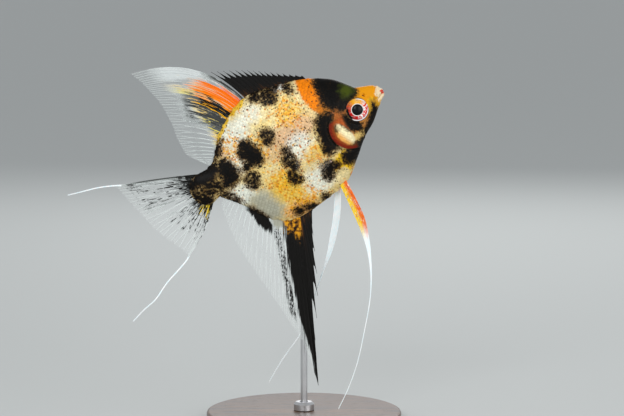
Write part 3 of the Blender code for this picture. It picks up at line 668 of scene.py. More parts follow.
plate_points, plate_faces = scale_plate()


def share_up(forward, up, sunk=0.0):
    """How far up a place is from the middle line to the back, or below 0 towards the belly."""
    middle = middle_line(forward)
    above = up > middle
    edge = np.where(above, back_line(forward) - sunk, belly_line(forward) + sunk)
    return (up - middle) / (edge - middle) * np.where(above, 1, -1)


def settled(forward, up, side):
    """The skin's turn at a place seen from one side, found on its ring of the body."""
    turn = np.arcsin(np.clip(share_up(forward, up, COAT_DEPTH), -0.999, 0.999))
    return turn if side > 0 else math.pi - turn


def scale_coat(name, side, pitch_forward, pitch_up, worn):
    """Sets plates over one flank wherever worn(forward, up) says so."""
    rows = np.arange(*COAT_EDGES, pitch_up)
    forward, up = np.meshgrid(np.arange(*COAT_ENDS, pitch_forward), rows)
    forward = (forward + (np.arange(len(rows)) % 2)[:, None] * pitch_forward / 2).ravel()
    up = up.ravel()
    low, high = belly_line(forward) + EDGE_MARGIN, back_line(forward) - EDGE_MARGIN
    keep = worn(forward, up) & (up > low) & (up < high)
    forward, up = forward[keep], up[keep]
    count = len(forward)
    turn = settled(forward, up, side)
    root, out = skin_at(forward, turn)
    out[out[:, 1] * side < 0] *= -1
    # Plates lie backward, and towards the edges of the body they lean with its outline.
    share = share_up(forward, up)
    fore, aft = (np.where(share > 0, back_line(forward + k), belly_line(forward + k)) for k in (1, -1))
    lean = np.arctan(0.25 * np.abs(share) * (fore - aft)) + rng.normal(0, 0.05, count)
    lie = np.stack([-np.cos(lean), np.zeros(count), -np.sin(lean)], -1)
    lie = unit(lie - out * (lie * out).sum(1, keepdims=True))
    across = np.cross(out, lie)
    long = pitch_forward * PLATE_LONG * rng.normal(1, 0.04, (count, 1))
    wide = pitch_up * PLATE_WIDE / np.maximum(np.abs(out[:, 1:2]), 0.42) * rng.normal(1, 0.04, (count, 1))
    lift = PLATE_LIFT * rng.normal(1, 0.2, (count, 1))
    x, y, z = plate_points.T[:, None]
    rise = (z + 0.5) * PLATE_THICK + (x - 0.42) * lift * 1.5
    parts = ((lie, x * long), (across, y * wide), (out, rise))
    points = root[:, None] + sum(axis[:, None] * reach[..., None] for axis, reach in parts)
    # The plates bend with the body: each point follows how the skin falls away under it.
    under, under_out = skin_at(points[..., 0], settled(points[..., 0], points[..., 2], side))
    upright = np.abs(under_out[..., 1])
    bent = under[..., 1] + side * rise / np.maximum(upright, 0.45)
    points[..., 1] = np.where(upright > 0.3, bent, points[..., 1])
    # Each plate gets a small patch on the OFBake map, at its root's place on the skin unrolled.
    station = (forward - STEM_TIP) / (SNOUT_TIP - STEM_TIP)
    unrolled = np.stack([station, (turn + math.pi / 2) / (2 * math.pi)], -1)
    patch = unrolled[:, None] + BAKE_PATCH * np.stack([x - 0.5, y / 2], -1)
    points = points.reshape(-1, 3)
    coat = new_piece(name, points, plate_faces, count, "OFBake", patch.reshape(-1, 2))
    edge_shade = np.clip(np.hypot((x - 0.35) / 0.65, y) * (x > 0.2), 0, 1)
    store(coat, "free_edge", np.broadcast_to(edge_shade, rise.shape))
    store(coat, "scale_tone", np.broadcast_to(rng.uniform(0.2, 1.0, (count, 1)), rise.shape))
    store(coat, "outside_marks", outside_marks(points))
    bpy.ops.object.select_all(action="DESELECT")
    coat.select_set(True)
    bpy.context.view_layer.objects.active = coat
    face_outward()
    bpy.ops.object.shade_smooth_by_angle(angle=math.radians(50))
    coat.data.materials.append(SKIN_FINISH.material)
    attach(coat, "root")
    return coat


def on_trunk(forward, up):
    from_gill = apart(forward, up, GILL_CENTRE)
    nape = forward < 79.5 - 0.25 * (up - 12)
    behind = (from_gill > COVER_RADIUS + 1.3) | (forward > 80)
    throat = (up < -15) & (forward > 74)
    low_front = (up < 4) & (forward > 71)
    return (forward > -2.5) & nape & behind & ~throat & ~low_front


def on_face(forward, up):
    from_gill = apart(forward, up, GILL_CENTRE)
    from_eye = apart(forward, up, EYE_CENTRE) - EYE_OPENING
    cover = (from_gill < COVER_RADIUS - 1.6) & (forward < 76.5)
    cheek = (from_eye > 2.4) & (forward > 79.3) & (forward < 88) & (up < -4) & (up > -13.5)
    above = (from_eye > 2.6) & (forward > 71) & (forward < 80) & (up > 4) & (up < 12)
    return cover | cheek | above


for word, side in (("right", -1), ("left", 1)):
    scale_coat(f"scales_{word}", side, 2.05, 1.20, on_trunk)
    scale_coat(f"face_scales_{word}", side, 1.45, 0.85, on_face)

# ==== The eyes ===================================================================================
# A glassy ball deep in its socket: a bulging black lens in a bright ring, and round it the iris in
# red, silver and gold under a clear wet surface.
EYE_RADIUS, EYE_HALF_DEPTH, EYE_OUT = 6.1, 3.5, 4.4
EYE_FORWARD_TURN = math.radians(12)
PUPIL_RADIUS, LENS_BULGE = 2.72, 0.55
BRIGHT_RING, RIM_HIGHLIGHT = (0.90, 0.88, 0.82), (0.88, 0.88, 0.86)

EYE_FINISH = Finish(
    "fish_eye",
    {"Roughness": 0.30, "Specular IOR Level": 0.15, "Coat Weight": 0.10, "Coat Roughness": 0.03},
)
eye_forward, _, eye_up = in_fish(EYE_FINISH).parted()
out_forward, out_up = eye_forward - (EYE_CENTRE[0] + 0.25), eye_up - (EYE_CENTRE[1] - 0.1)
from_pupil = joined(EYE_FINISH, out_forward, 0.0, out_up).vector_math("LENGTH")
ahead, above = out_forward / from_pupil.most(0.1), out_up / from_pupil.most(0.1)
spoke = joined(EYE_FINISH, ahead * 2.2, from_pupil * 0.35, above * 2.2)
patches, threads = spoke.noise(1.7, 3, 0.6), spoke.noise(7.0, 3, 0.7)
toward_top, toward_rear = above.step(-0.1, 0.9), ahead.step(0.2, -0.8)
flecks = (patches + (threads - 0.5) * 0.5).step(0.50, 0.56)
# Painted highlight: a pale band round the outer rim of the iris, low down and at its upper front.
front_gleam = out_forward.step(1.0, 3.0) * out_up.step(0.5, 2.4) * 0.9
rim_light = from_pupil.band(4.7, 5.1, 5.3, 5.6) * out_up.step(-0.4, -3.4).most(front_gleam)
iris = layered(
    toward_top.mix((0.72, 0.008, 0.003), (0.88, 0.42, 0.01)),
    (toward_rear * 0.85, (0.62, 0.006, 0.003)),
    (flecks * (1 - 0.6 * toward_rear) * (1 - 0.85 * toward_top), (0.90, 0.90, 0.86)),
    ((threads + 0.12 * toward_rear).step(0.58, 0.70) * 0.85, (0.10, 0.004, 0.003)),
    # the painted highlight on the iris rim
    (rim_light * (threads + 0.35).step(0.4, 0.8), RIM_HIGHLIGHT),
    ((from_pupil + threads * 0.9).step(4.6, 4.9) * ahead.step(-0.74, -0.9), (0.004, 0.002, 0.002)),
    (from_pupil.step(5.25, 5.5) * 0.9, (0.02, 0.012, 0.01)),
    (from_pupil.step(3.12, 2.96) * (0.75 + 0.5 * threads), BRIGHT_RING),
)
in_pupil = from_pupil.step(PUPIL_RADIUS + 0.12, PUPIL_RADIUS - 0.10)
EYE_FINISH.set(
    {
        "Base Color": in_pupil.mix(iris, (0.002, 0.002, 0.003)),
        "Metallic": (1 - in_pupil) * patches.step(0.45, 0.7) * 0.45,
    }
)
EYE_FINISH.bump((threads * 0.5 + patches) * (1 - in_pupil), 0.00008)

for word, side in (("right", -1), ("left", 1)):
    bpy.ops.mesh.primitive_uv_sphere_add(segments=96, ring_count=64, radius=1)
    eye = bpy.context.object
    eye.name = f"eyeball_{word}"
    ball = corners_of(eye)
    from_axis = np.hypot(ball[:, 0], ball[:, 1]) * EYE_RADIUS
    lens = LENS_BULGE * np.sqrt(np.clip(1 - (from_axis / (PUPIL_RADIUS + 0.05)) ** 2, 0, 1))
    bowl = -0.30 * ridge(from_axis - PUPIL_RADIUS - 0.25, 0.45) - 0.12 * ridge(from_axis - 5.1, 0.3)
    face = np.where(ball[:, 2] > 0, lens + bowl - 0.18 * (from_axis < 5.4), 0)
    # The ball's x, y and z run forward, up and outward on its side of the head.
    ahead, aside = math.cos(EYE_FORWARD_TURN), math.sin(EYE_FORWARD_TURN)
    axes = np.array([[side * ahead, -aside, 0], [0, 0, 1], [aside, side * ahead, 0]])
    ball *= (EYE_RADIUS, EYE_RADIUS, EYE_HALF_DEPTH)
    ball[:, 2] += face
    move_corners(eye, (EYE_CENTRE[0], side * EYE_OUT, EYE_CENTRE[1]) + ball @ axes)
    face_outward()
    bpy.ops.object.shade_smooth()
    eye.data.materials.append(EYE_FINISH.material)
    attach(eye, "root")
    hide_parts(f"eye_{word}")

# ==== The fins in the body's middle ==============================================================
# Each fin is a fan of bony rays in a skin as thin as paper.  Hard spines stand in front, one behind
# the other, and soft rays fork towards the edge.  The skin is one closed thin sheet, and every ray
# is a copy of one tapered rod, laid along its line.

# A ray is (root forward, root up, tip forward, tip up, bow): its middle stands out by its bow, to
# the right of one who looks from its root to its tip.
dorsal_spine_keys = [
    (69.6, 22.8, 68.8, 25.8, 0), (59.9, 25.4, 56.3, 34.3, 0), (50.4, 27.2, 44.8, 41.7, 0.3),
    (40.2, 28.2, 31.6, 48.0, 0.6),
]
dorsal_soft_keys = [
    (38.9, 28.6, -3.6, 66.8, 8.8), (34.9, 27.8, -0.8, 59.6, 6.0), (30.5, 25.6, 0.8, 53.4, 4.0),
    (26.0, 22.8, 2.2, 45.4, 2.6), (21.5, 19.6, 2.2, 36.4, 1.6), (17.8, 16.4, 1.0, 28.0, 0.8),
    (14.6, 13.2, 1.0, 20.8, 0.4), (12.0, 10.2, 4.4, 14.8, 0), (9.8, 8.2, 7.0, 11.4, 0),
]
anal_spine_keys = [
    (43.0, -32.2, 40.3, -35.2, 0), (40.2, -32.2, 35.2, -46.4, 0), (36.8, -32.4, 25.6, -67.6, 0),
    (35.8, -32.4, 12.6, -88.6, 0),
]
anal_soft_keys = [
    (35.8, -32.4, 12.2, -89.4, 0), (33.8, -32.2, 2.2, -111.2, 0), (31.8, -31.6, 6.0, -88.4, 0),
    (29.0, -30.2, 5.2, -77.6, 0), (25.5, -28.0, 4.4, -67.0, 0), (22.0, -25.2, 3.4, -56.0, 0),
    (18.5, -21.0, 2.2, -44.0, 0.4), (15.0, -16.4, 1.4, -30.6, 0.4), (11.0, -11.2, 2.6, -17.4, 0),
    (8.2, -7.6, 4.2, -9.8, 0),
]
tail_keys = [
    (2.0, 7.8, -37.0, 23.0, 0.5), (1.0, 6.2, -36.6, 21.9, 0.3), (0.0, 4.0, -35.2, 15.0, 0),
    (-0.6, 1.6, -32.8, 5.0, 0), (-0.6, -1.2, -30.2, -5.0, 0), (-0.2, -3.4, -26.0, -14.4, -0.4),
    (0.8, -5.0, -22.2, -23.6, -1.2), (1.4, -6.6, -22.8, -25.0, -1.8),
]
SKIN_OF_FIN, PLEAT = 0.16, 0.22  # thickness of a fin's skin, and how far it folds between rays
ROD_STEPS, ROD_SIDES, ROD_FLATNESS = 18, 6, 0.9
SPINE_REACH = 1.04  # spines stick out of the skin
FORK, FORK_OVERLAP, FORK_REACH, FORK_SPREAD = 0.55, 0.01, 0.455, 0.26  # how soft rays fork
FORK_THINNING, BRANCH_THICK = 0.62, 0.52
SQUARES_BETWEEN_RAYS, SQUARES_ALONG = 4, 30


def between(rows, share):
    """The rows of values at shares of the way along a list of rows, on smooth lines through them."""
    count = len(rows) - 1
    return [line_through([(i / count, v) for i, v in enumerate(c)])(share) for c in zip(*rows)]


def fan_at(keys, across, along, sway):
    """Places on a fan: across its rays from 0 to 1, and along them from their roots to their tips."""
    root_x, root_z, tip_x, tip_z, bow = between(keys, across)
    run, rise = tip_x - root_x, tip_z - root_z
    out = 4 * bow * along * (1 - along) / np.hypot(run, rise)
    left = sway * along**2 * np.sin(math.pi * (0.25 + 1.3 * across))
    return np.stack([root_x + run * along + rise * out, left, root_z + rise * along - run * out], -1)


def straight_rod():
    """A rod along z from 0 to 1, with a radius of 1, in even steps, ready to be bent and tapered."""
    turns, shares = np.arange(ROD_SIDES) * 2 * math.pi / ROD_SIDES, np.linspace(0, 1, ROD_STEPS + 1)
    turn, share = np.meshgrid(turns, shares)
    points = np.stack([np.sin(turn), np.cos(turn), share], -1).reshape(-1, 3)
    ring = np.arange(ROD_SIDES)
    strip = np.stack([ring, np.roll(ring, -1), np.roll(ring, -1) + ROD_SIDES, ring + ROD_SIDES], -1)
    sides = [tuple(face + k * ROD_SIDES) for k in range(ROD_STEPS) for face in strip]
    return points, [tuple(ring), *sides, tuple(ring + ROD_STEPS * ROD_SIDES)]


rod_points, rod_faces = straight_rod()


def rods(name, lines):
    """Rods joined in one mesh.  A line is line(share), its two radii, and its place on the UV map."""
    share = rod_points[:, 2]
    points, places = [], []
    for line, radii, (across, low, high) in lines:
        ahead = unit(line(np.minimum(share + 0.02, 1)) - line(np.maximum(share - 0.02, 0)))
        side = unit(np.cross(ahead, (0, 1.0, 0)))
        over = np.cross(side, ahead) * ROD_FLATNESS
        size = np.interp(share, (0, 1), radii)[:, None]
        points.append(line(share) + (side * rod_points[:, :1] + over * rod_points[:, 1:2]) * size)
        places.append(np.stack([np.full(len(share), across), low + (high - low) * share], -1))
    points, places = np.concatenate(points), np.concatenate(places)
    made = new_piece(name, points, rod_faces, len(lines), "UVMap", places)
    store(made, "bony", np.ones(len(points)))
    return made


def fin_skin(name, shape, across_steps, along_steps):
    """The fin's thin skin: a grid pulled out to the fin's shape, and given its thickness."""
    bpy.ops.mesh.primitive_grid_add(x_subdivisions=across_steps, y_subdivisions=along_steps, size=2)
    sheet = bpy.context.object
    sheet.name = name
    across, along, _ = (corners_of(sheet).T + 1) / 2
    move_corners(sheet, shape(across, along))
    body = sheet.modifiers.new("thickness", "SOLIDIFY")
    body.thickness, body.offset = SKIN_OF_FIN * FISH_UNIT, 0
    bpy.ops.object.modifier_apply(modifier=body.name)
    return sheet


def together(pieces, name, finish):
    """Joins pieces into the first one, with outward faces and a smooth finish."""
    bpy.ops.object.select_all(action="DESELECT")
    for piece in pieces:
        piece.select_set(True)
    bpy.context.view_layer.objects.active = pieces[0]
    if len(pieces) > 1:
        bpy.ops.object.join()
    face_outward()
    bpy.ops.object.shade_smooth_by_angle(angle=math.radians(60))
    pieces[0].name = name
    pieces[0].data.materials.clear()
    pieces[0].data.materials.append(finish.material)
    return pieces[0]


def fan_fin(name, keys, ray_count, web, sway, forked, radii, finish, cusp=2.0):
    """A fin over a fan of rays.  The skin reaches `web` of the way up between two rays."""
    steps = ray_count - 1
    thick, thin = radii

    def shape(across, along):
        edge = 1 - (1 - web) * np.abs(np.sin(math.pi * across * steps)) ** cusp
        place = fan_at(keys, across, along * edge, sway)
        place[:, 1] += PLEAT * np.sin(2 * math.pi * across * steps) * along * (1 - 0.5 * along)
        return place

    def ray(across, low, reach, high, radii, spread=0.0):
        def line(share):
            return fan_at(keys, across + spread * eased(share, 0, 1), low + reach * share, sway)

        return line, radii, (across, low, high)

    lines = []
    for i in range(ray_count):
        across = i / steps
        if not forked:
            lines.append(ray(across, 0, SPINE_REACH, 1, radii))
            continue
        lines.append(ray(across, 0, FORK, FORK, (thick, thick * FORK_THINNING)))
        for fork in (-1, 1):
            if 0 < across + fork * 0.25 / steps < 1:
                branch, spread = (thick * BRANCH_THICK, thin), fork * FORK_SPREAD / steps
                lines.append(ray(across, FORK - FORK_OVERLAP, FORK_REACH, 1, branch, spread))
    sheet = fin_skin(name, shape, steps * SQUARES_BETWEEN_RAYS, SQUARES_ALONG)
    return together([sheet, rods(name + "_rays", lines)], name, finish)


class FinFinish(Finish):
    """A fin's finish, which knows how far across the fan and along its rays each place is."""

    def __init__(self, name, roughness=0.42):
        constants = {"Specular IOR Level": 0.12, "Coat Weight": 0.02, "Coat Roughness": 0.2}
        super().__init__(name, {**constants, "Roughness": roughness})
        self.across, self.along, _ = self.node("UVMap", {"uv_map": "UVMap"}, ()).parted()
        self.bony = stored(self, "bony")

    def streaks(self, rays, seed=0.0, stretch=2.2):
        """Noise that runs along the rays."""
        return joined(self, self.across * rays * 1.3, self.along * stretch, seed).noise(1.0, 3, 0.65)

    def show(self, rays, pigment, solid, tint=(0.78, 0.88, 0.86), clearness=0.05):
        """Shows clear skin with pale rays, under a pigment that is solid where `solid` is 1."""
        ribs = self.streaks(rays * 3, 5.0, 1.2)
        joints = joined(self, self.across * rays * 40, self.along * 60, 2.0).noise(1.0, 1)
        forked = self.along.band(0.44, 0.56, 0.60, 0.74)
        bone = (0.20 + 0.14 * joints) * self.bony * (1 - 0.6 * forked)
        clear = clearness + 0.07 * ribs.step(0.45, 0.75) + bone
        colour = solid.mix(ribs.mix(tint, (0.93, 0.95, 0.92)), pigment)
        self.set({"Base Color": colour, "Alpha": clear.least(1.0).most(solid * 0.97)})
        self.bump(ribs, 0.00005)


# The dorsal fin: black hard spines, then a leading edge of white, a flame of orange, black streaks
# and clear skin behind.
DORSAL_FINISH = fin = FinFinish("dorsal_fin_clear")
across, along = fin.across, fin.along
run, fine_run = fin.streaks(24), fin.streaks(60, 3.0, 3.0)
moved = (run - 0.5) * 0.25 + (fine_run - 0.5) * 0.25
strayed = across + moved
flame = (across + moved * 0.6 - 0.10 * along).step(0.02, 0.06) * (across + moved * 0.8).step(0.40, 0.30)
flame = flame * (along + moved * 1.8 + across * 0.15).step(0.60, 0.46)
lead = (across + moved * 0.3 - 0.12 * along).step(0.07, 0.01) * along.band(0.28, 0.44, 0.7, 0.98)
shadow = (across + moved * 0.3).step(0.05, 0.02) * (along + moved).step(0.44, 0.30)
stain = strayed.band(0.22, 0.32, 0.44, 0.54) * (along + moved * 1.3).step(0.86, 0.60)
yellow = strayed.band(0.14, 0.24, 0.74, 0.96) * (along + moved * 1.6 + across * 1.6).step(1.22, 0.96)
gaps = fin.streaks(50, 7.0, 0.9).step(0.46, 0.37)
black_streaks = stain * (fine_run + run * 0.5 + along.step(0.6, 0.0) * 0.08).step(0.71, 0.76)
black_streaks = black_streaks.most(shadow * fine_run.step(0.36, 0.48))
in_flame = flame.step(0.0, 0.05)
red = (across + moved * 1.2).step(0.00, 0.11).mix((0.80, 0.035, 0.0), (0.93, 0.17, 0.0))
hot = (across + moved * 0.8).step(0.16, 0.32).most((along + moved * 2.2).step(0.36, 0.66))
gold = run.step(0.4, 0.6).mix((0.86, 0.70, 0.01), (0.90, 0.52, 0.0))
pigment = layered(
    (0.93, 0.95, 0.97),
    (in_flame, red),
    (hot * in_flame, (0.93, 0.47, 0.0)),
    (yellow.step(0.0, 0.05) * (1 - flame), gold),
    (gaps * flame * 0.6, (0.95, 0.84, 0.50)),
    (black_streaks.step(0.0, 0.08), (0.006, 0.005, 0.003)),
)
solid = (flame * (0.92 + 0.2 * fine_run - 0.35 * gaps)).most(lead * (0.10 + 0.5 * fine_run))
fin.show(24, pigment, solid.most(yellow * 0.85).most(black_streaks * 0.95))

BLACK_FINISH = fin = FinFinish("black_fin")
run, fine_run = fin.streaks(14), fin.streaks(50, 3.0, 3.0)
brown = (run * 0.6 + fine_run * 0.4).step(0.45, 0.75) * fin.along.step(0.45, 0.0)
cover = 0.88 + 0.5 * fine_run + 0.4 * fin.along.step(1.0, 0.62) + fin.bony
fin.set({"Base Color": brown.mix((0.004, 0.0035, 0.003), (0.20, 0.07, 0.01)), "Alpha": cover.least(1.0)})
fin.bump(fine_run, 0.00006)

# The anal fin: a long black lobe behind short black spines, and clear skin behind it.
ANAL_FINISH = fin = FinFinish("anal_fin_black")
across, along = fin.across, fin.along
run, fine_run, spots = fin.streaks(26), fin.streaks(80, 3.0, 3.5), fin.streaks(110, 6.0, 30.0)
moved = (run - 0.5) * 0.16 + (fine_run - 0.5) * 0.16
lobe = (across + moved * 1.2 + 0.17 * along + 0.08 * along.step(0.78, 0.92)).step(0.42, 0.39)
strip = (across + moved * 0.5 + 0.20 * along).band(0.43, 0.455, 0.51, 0.545) * along.step(0.96, 0.86)
speckle = strip * (fine_run * 0.5 + spots * 0.8 + run * 0.2).step(0.73, 0.77)
root = (along + moved * 0.6).step(0.15, 0.10) * across.step(0.60, 0.45)
blotch = in_fish(fin).noise(0.42, 3, 0.6) + (fine_run - 0.5) * 0.3
fringe = (along + moved + across.step(0.60, 0.78) * 0.12).step(0.28, 0.21)
fringe = fringe * (along + moved * 0.4 + across.step(0.50, 0.62) * 0.14).step(0.10, 0.14)
fringe = fringe * across.band(0.48, 0.52, 0.74, 0.82)
brown = (blotch - along * 0.6).step(0.34, 0.42) * (along + moved * 1.4).step(0.17, 0.10)
silver = (across + moved * 0.5).step(0.35, 0.40) * (along + moved * 0.6).step(0.18, 0.13)
ginger = blotch.step(0.46, 0.60).mix((0.20, 0.075, 0.008), (0.80, 0.36, 0.012))
pigment = layered(
    (0.003, 0.0025, 0.002),
    (brown * across.step(0.42, 0.34) * 0.95, ginger),
    (silver * across.step(0.66, 0.62) * (1 - fringe), (0.40, 0.40, 0.32)),
)
fin.show(26, pigment, lobe.most(speckle).most(root).most(fringe))

# The tail: clear skin on pale forked rays, dark along its upper edge, with smoky streaks.
TAIL_FINISH = fin = FinFinish("tail_fin_clear")
across, along = fin.across, fin.along
run, fine_run, spots = fin.streaks(18), fin.streaks(48, 3.0, 3.0), fin.streaks(120, 5.0, 14.0)
upper_edge = (across + (run - 0.5) * 0.05).step(0.075, 0.035) * along.step(0.95, 0.7) * 0.9
root = (along + (run - 0.5) * 0.4 + (fine_run - 0.5) * 1.3).step(0.27, 0.18)
dashes = (fine_run * 0.6 + spots * 0.5 + run * 0.4 + along.step(0.6, 0.2) * 0.05).step(0.80, 0.84)
upper_stain = across.band(0.02, 0.06, 0.36, 0.52) * along.step(0.98, 0.90)
lower_stain = across.step(0.50, 0.60) * along.step(0.80, 0.70)
gold = across.band(0.70, 0.76, 0.94, 0.99) * along.step(0.36, 0.26) * fine_run.step(0.50, 0.56)
dark = upper_edge.most(root).most(dashes * upper_stain.most(lower_stain))
fin.show(18, gold.mix((0.003, 0.003, 0.002), (0.80, 0.56, 0.01)), dark)

SPINES, SOFT_RAYS = (0.40, 0.08), (0.30, 0.07)  # a ray's radius at its root and at its tip
for fin, node_name, slot_name in (
    (fan_fin("spiny_dorsal", dorsal_spine_keys, 16, 0.72, 0.0, False, SPINES, BLACK_FINISH, 1.2),
     "dorsal_spines", "black_fin"),
    (fan_fin("soft_dorsal", dorsal_soft_keys, 24, 0.985, 1.4, True, SOFT_RAYS, DORSAL_FINISH),
     "dorsal_fin", "clear_fin"),
    (fan_fin("spiny_anal", anal_spine_keys, 8, 0.76, 0.0, False, (0.42, 0.09), BLACK_FINISH, 1.1),
     "anal_spines", "black_fin"),
    (fan_fin("soft_anal", anal_soft_keys, 26, 0.985, -1.4, True, SOFT_RAYS, ANAL_FINISH),
     "anal_fin", "black_fin"),
    (fan_fin("tail_fan", tail_keys, 17, 0.98, 2.0, True, (0.34, 0.07), TAIL_FINISH),
     "tail_fin", "clear_fin"),
):
    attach(fin, "root")
    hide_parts(node_name)

# ==== The paired fins ============================================================================
# Clear pectoral fans swing out behind the gill covers.  Each pelvic fin is a narrow folded blade that
# runs out into a long thread, as do the tips of the tail.
pectoral_keys = [
    (63.6, -12.2, 51.4, -5.0, -0.6), (63.2, -13.4, 46.4, -8.4, -0.4), (62.8, -14.6, 44.6, -13.0, 0),
    (62.4, -15.8, 46.6, -18.2, 0.4), (62.0, -17.0, 51.8, -22.0, 0.6),
]
PECTORAL_ROOT, PECTORAL_REACH, PECTORAL_SWING = 63.0, 18.0, 0.42
PECTORAL_FINISH = fin = FinFinish("pectoral_fin_clear")
fin.bony = fin.bony * (0.04 + 0.5 * fin.along.step(0.15, 0.6))
fin.show(12, (0.42, 0.06, 0.02), fin.along.step(0.12, 0.02) * 0.6, (0.62, 0.46, 0.26), 0.0)


def flank_at(forward, up):
    """How far the bare flank lies from the middle plane."""
    share = np.clip(share_up(forward, up), -1, 1)
    return half_width(forward) * HALF_WIDEST * (1 - share**2) ** (ridge_sharpness(forward) / 2)


root_forward, root_up, tip_forward, _, _ = pectoral_keys[2]
root_left = flank_at(root_forward, root_up) - 1.0
swing = PECTORAL_SWING * (root_forward - tip_forward)
for word, side in (("right", -1), ("left", 1)):
    pectoral = fan_fin(
        f"pectoral_{word}", pectoral_keys, 12, 0.96, 0.0, True, (0.22, 0.05), PECTORAL_FINISH
    )
    own = (corners_of(pectoral) - place_fish[:3, 3]) @ place_fish[:3, :3] / FISH_UNIT
    out = np.clip((PECTORAL_ROOT - own[:, 0]) / PECTORAL_REACH, 0, 1.1)
    own[:, 1] = side * (root_left + swing * out + own[:, 1])
    move_corners(pectoral, own)
    if side < 0:
        pectoral.data.flip_normals()
    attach(pectoral, "root")
    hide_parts(f"pectoral_fin_{word}")

# The pelvic fins and the threads are ribbons (forward, up, left, width), from root to tip.
pelvic_stations = {
    "right": [
        (61.2, -28.6, -2.2, 3.4), (61.0, -36.0, -4.4, 4.0), (60.5, -46.0, -7.0, 4.2),
        (58.3, -57.6, -9.6, 2.8), (54.0, -69.4, -11.4, 1.4), (46.8, -82.4, -12.4, 0.8),
        (35.4, -96.8, -12.6, 0.8), (24.9, -108.8, -12.2, 0.8), (14.6, -118.0, -11.4, 0.8),
        (6.0, -124.2, -11.0, 0.8),
    ],
    "left": [
        (58.6, -28.4, 2.2, 2.8), (51.7, -40.6, 4.8, 3.2), (44.2, -50.4, 7.6, 3.0),
        (37.7, -57.7, 9.8, 2.4), (30.7, -64.1, 12.0, 1.4), (20.6, -73.8, 14.4, 0.8),
        (7.2, -85.6, 16.0, 0.8), (-9.1, -93.9, 17.0, 0.8), (-20.1, -100.5, 17.4, 0.8),
    ],
}
tail_thread_stations = {
    "upper": [
        (-34.0, 21.6, 1.1, 1.2), (-37.5, 23.3, 1.5, 0.9), (-45.0, 26.2, 2.4, 0.8),
        (-53.6, 28.4, 3.8, 0.8), (-59.8, 30.0, 5.0, 0.8),
    ],
    "lower": [
        (-21.0, -23.6, -1.4, 1.2), (-23.3, -25.3, -1.9, 0.9), (-28.6, -27.4, -2.6, 0.8),
        (-37.4, -30.4, -3.8, 0.8), (-46.8, -35.0, -4.6, 0.8), (-53.0, -36.3, -5.0, 0.8),
        (-61.0, -38.8, -5.2, 0.8),
    ],
}
BLADE_RAYS, FOLD_DEPTH, THREAD_END = 6, 0.16, 0.16
BLADE_SQUARES_ALONG, BLADE_CLOSES = 90, (0.25, 0.62)


def ribbon_at(stations, share, across, spread):
    """Places along a ribbon, set off across it by a share of its half width times spread."""
    forward, up, left, width = between(stations, share)
    behind, ahead = (
        np.stack(between(stations, np.clip(share + step, 0, 1))[:2]) for step in (-0.01, 0.01)
    )
    run, rise = ahead - behind
    half = width / 2 * spread * across / np.hypot(run, rise)
    return np.stack([forward - rise * half, left, up + run * half], -1)


def closing_up(share):
    """How wide a blade is open: all of it near the root, and a quarter where it is a thread."""
    return 1 - eased(share, *BLADE_CLOSES) * 0.75


def blade(name, stations, finish):
    """A folded blade: one spine in front and a few rays behind it that run together into a thread."""

    def ray(i):
        across, reach = 1 - 2 * i / (BLADE_RAYS - 1), 1.0 if i == 1 else 0.62 - 0.03 * i

        def line(share):
            return ribbon_at(stations, share * reach, across, 0.92 * closing_up(share * reach))

        return line, (0.34 if i == 0 else 0.26, THREAD_END), ((across + 1) / 2, 0, reach)

    def shape(across, along):
        place = ribbon_at(stations, along, 2 * across - 1, closing_up(along))
        place[:, 1] += FOLD_DEPTH * np.sin(2 * math.pi * across * (BLADE_RAYS - 1)) * (1 - along)
        return place

    sheet = fin_skin(name, shape, (BLADE_RAYS - 1) * SQUARES_BETWEEN_RAYS, BLADE_SQUARES_ALONG)
    return together([sheet, rods(name + "_rays", [ray(i) for i in range(BLADE_RAYS)])], name, finish)


def thread_finish(name, warm):
    """White with a cool sheen, and orange and yellow streaks near the root where it is warm."""
    fin = FinFinish(name, 0.35)
    run, fine_run = fin.streaks(5, 0.0, 14.0), fin.streaks(12, 3.0, 30.0)
    flame = warm + (1 - warm) * fin.along.step(0.05, 0.0)
    flame = (fin.along + (run - 0.5) * 0.12).step(0.36, 0.25) * flame
    hot = layered(
        fin.across.step(0.25, 0.75).mix((0.92, 0.62, 0.01), (0.86, 0.16, 0.01)),
        (fine_run.step(0.55, 0.70) * 0.9, (0.96, 0.88, 0.66)),
        (run.step(0.56, 0.66) * 0.7, (0.70, 0.035, 0.01)),
    )
    white = fine_run.step(0.35, 0.65).mix((0.84, 0.97, 1.0), (1.0, 1.0, 1.0))
    cover = 0.86 + 0.4 * fine_run + 0.5 * fin.bony - flame * fine_run.step(0.47, 0.40) * 1.3
    fin.set({"Base Color": flame.mix(white, hot), "Alpha": cover.least(1.0).most(0.0)})
    fin.bump(fine_run, 0.00006)
    return fin


for word, finish, slot_name in (
    ("right", thread_finish("pelvic_fin_orange", 1.0), "orange_fin"),
    ("left", thread_finish("pelvic_fin_white", 0.0), "white_thread"),
):
    pelvic = blade(f"pelvic_{word}", pelvic_stations[word], finish)
    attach(pelvic, "root")
    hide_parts(f"pelvic_fin_{word}", f"pelvic_thread_{word}")

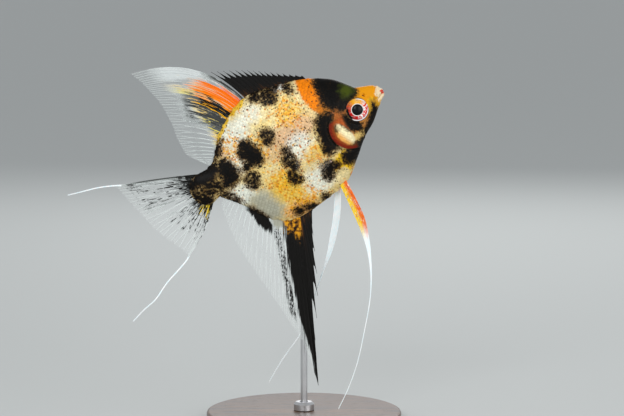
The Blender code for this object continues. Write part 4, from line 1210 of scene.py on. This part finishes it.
THREAD_FINISH = thread_finish("white_thread", 0.0)
for word, stations in tail_thread_stations.items():
    name = f"tail_streamer_{word}"
    lines = [
        (lambda s, a=a: ribbon_at(stations, s, a, 0.55), (0.24, 0.11), (0.5, 0.3, 1.0)) for a in (-0.6, 0.6)
    ]
    thread = together([rods(name, lines)], name, THREAD_FINISH)
    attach(thread, "root")
    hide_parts(f"tail_thread_{word}")

# ==== The studio =================================================================================
# A plain pale floor, soft lamps and a camera that looks at the right flank from a little above.
# Nothing here is part of the model.
FLOOR_RADIUS, SKY_COLOUR, SKY_STRENGTH = 40.0, (0.94, 0.97, 1.0, 1.0), 0.56
bpy.ops.mesh.primitive_circle_add(vertices=64, radius=FLOOR_RADIUS, fill_type="NGON")
floor = bpy.context.object
floor.name = "studio_floor"
FLOOR_FINISH = Finish("pale_floor", {"Base Color": (0.52, 0.54, 0.53), "Roughness": 0.7})
floor.data.materials.append(FLOOR_FINISH.material)

world = bpy.data.worlds.new("studio")
bpy.context.scene.world = world
world.use_nodes = True
sky = world.node_tree.nodes["Background"].inputs
sky["Color"].default_value, sky["Strength"].default_value = SKY_COLOUR, SKY_STRENGTH

LOOK_AT = Vector((0.00297, TAIL_BASE[1], 0.0796))
for lamp_name, power, width, spot in (
    ("key_lamp", 4.0, 0.50, (-0.30, -0.82, 0.52)),
    ("fill_lamp", 3.2, 0.70, (0.65, -0.60, 0.25)),
    ("back_lamp", 2.2, 0.50, (0.10, 0.75, 0.55)),
):
    bpy.ops.object.light_add(type="AREA", location=spot)
    lamp = bpy.context.object
    lamp.name = lamp_name
    lamp.data.size, lamp.data.energy = width, power
    lamp.rotation_euler = (LOOK_AT - lamp.location).to_track_quat("-Z", "Y").to_euler()

CAMERA_DISTANCE, CAMERA_RISE = 0.85, math.radians(6)
VIEW_WIDTH = 0.228  # across the picture, at the fish
back = Vector((0, -math.cos(CAMERA_RISE), math.sin(CAMERA_RISE)))
bpy.ops.object.camera_add(location=LOOK_AT + back * CAMERA_DISTANCE)
camera = bpy.context.object
camera.rotation_euler = (-back).to_track_quat("-Z", "Y").to_euler()
camera.data.lens = camera.data.sensor_width * CAMERA_DISTANCE / VIEW_WIDTH
camera.data.clip_start, camera.data.clip_end = 0.05, 30
bpy.context.scene.camera = camera
bpy.context.scene.view_settings.view_transform = "Standard"
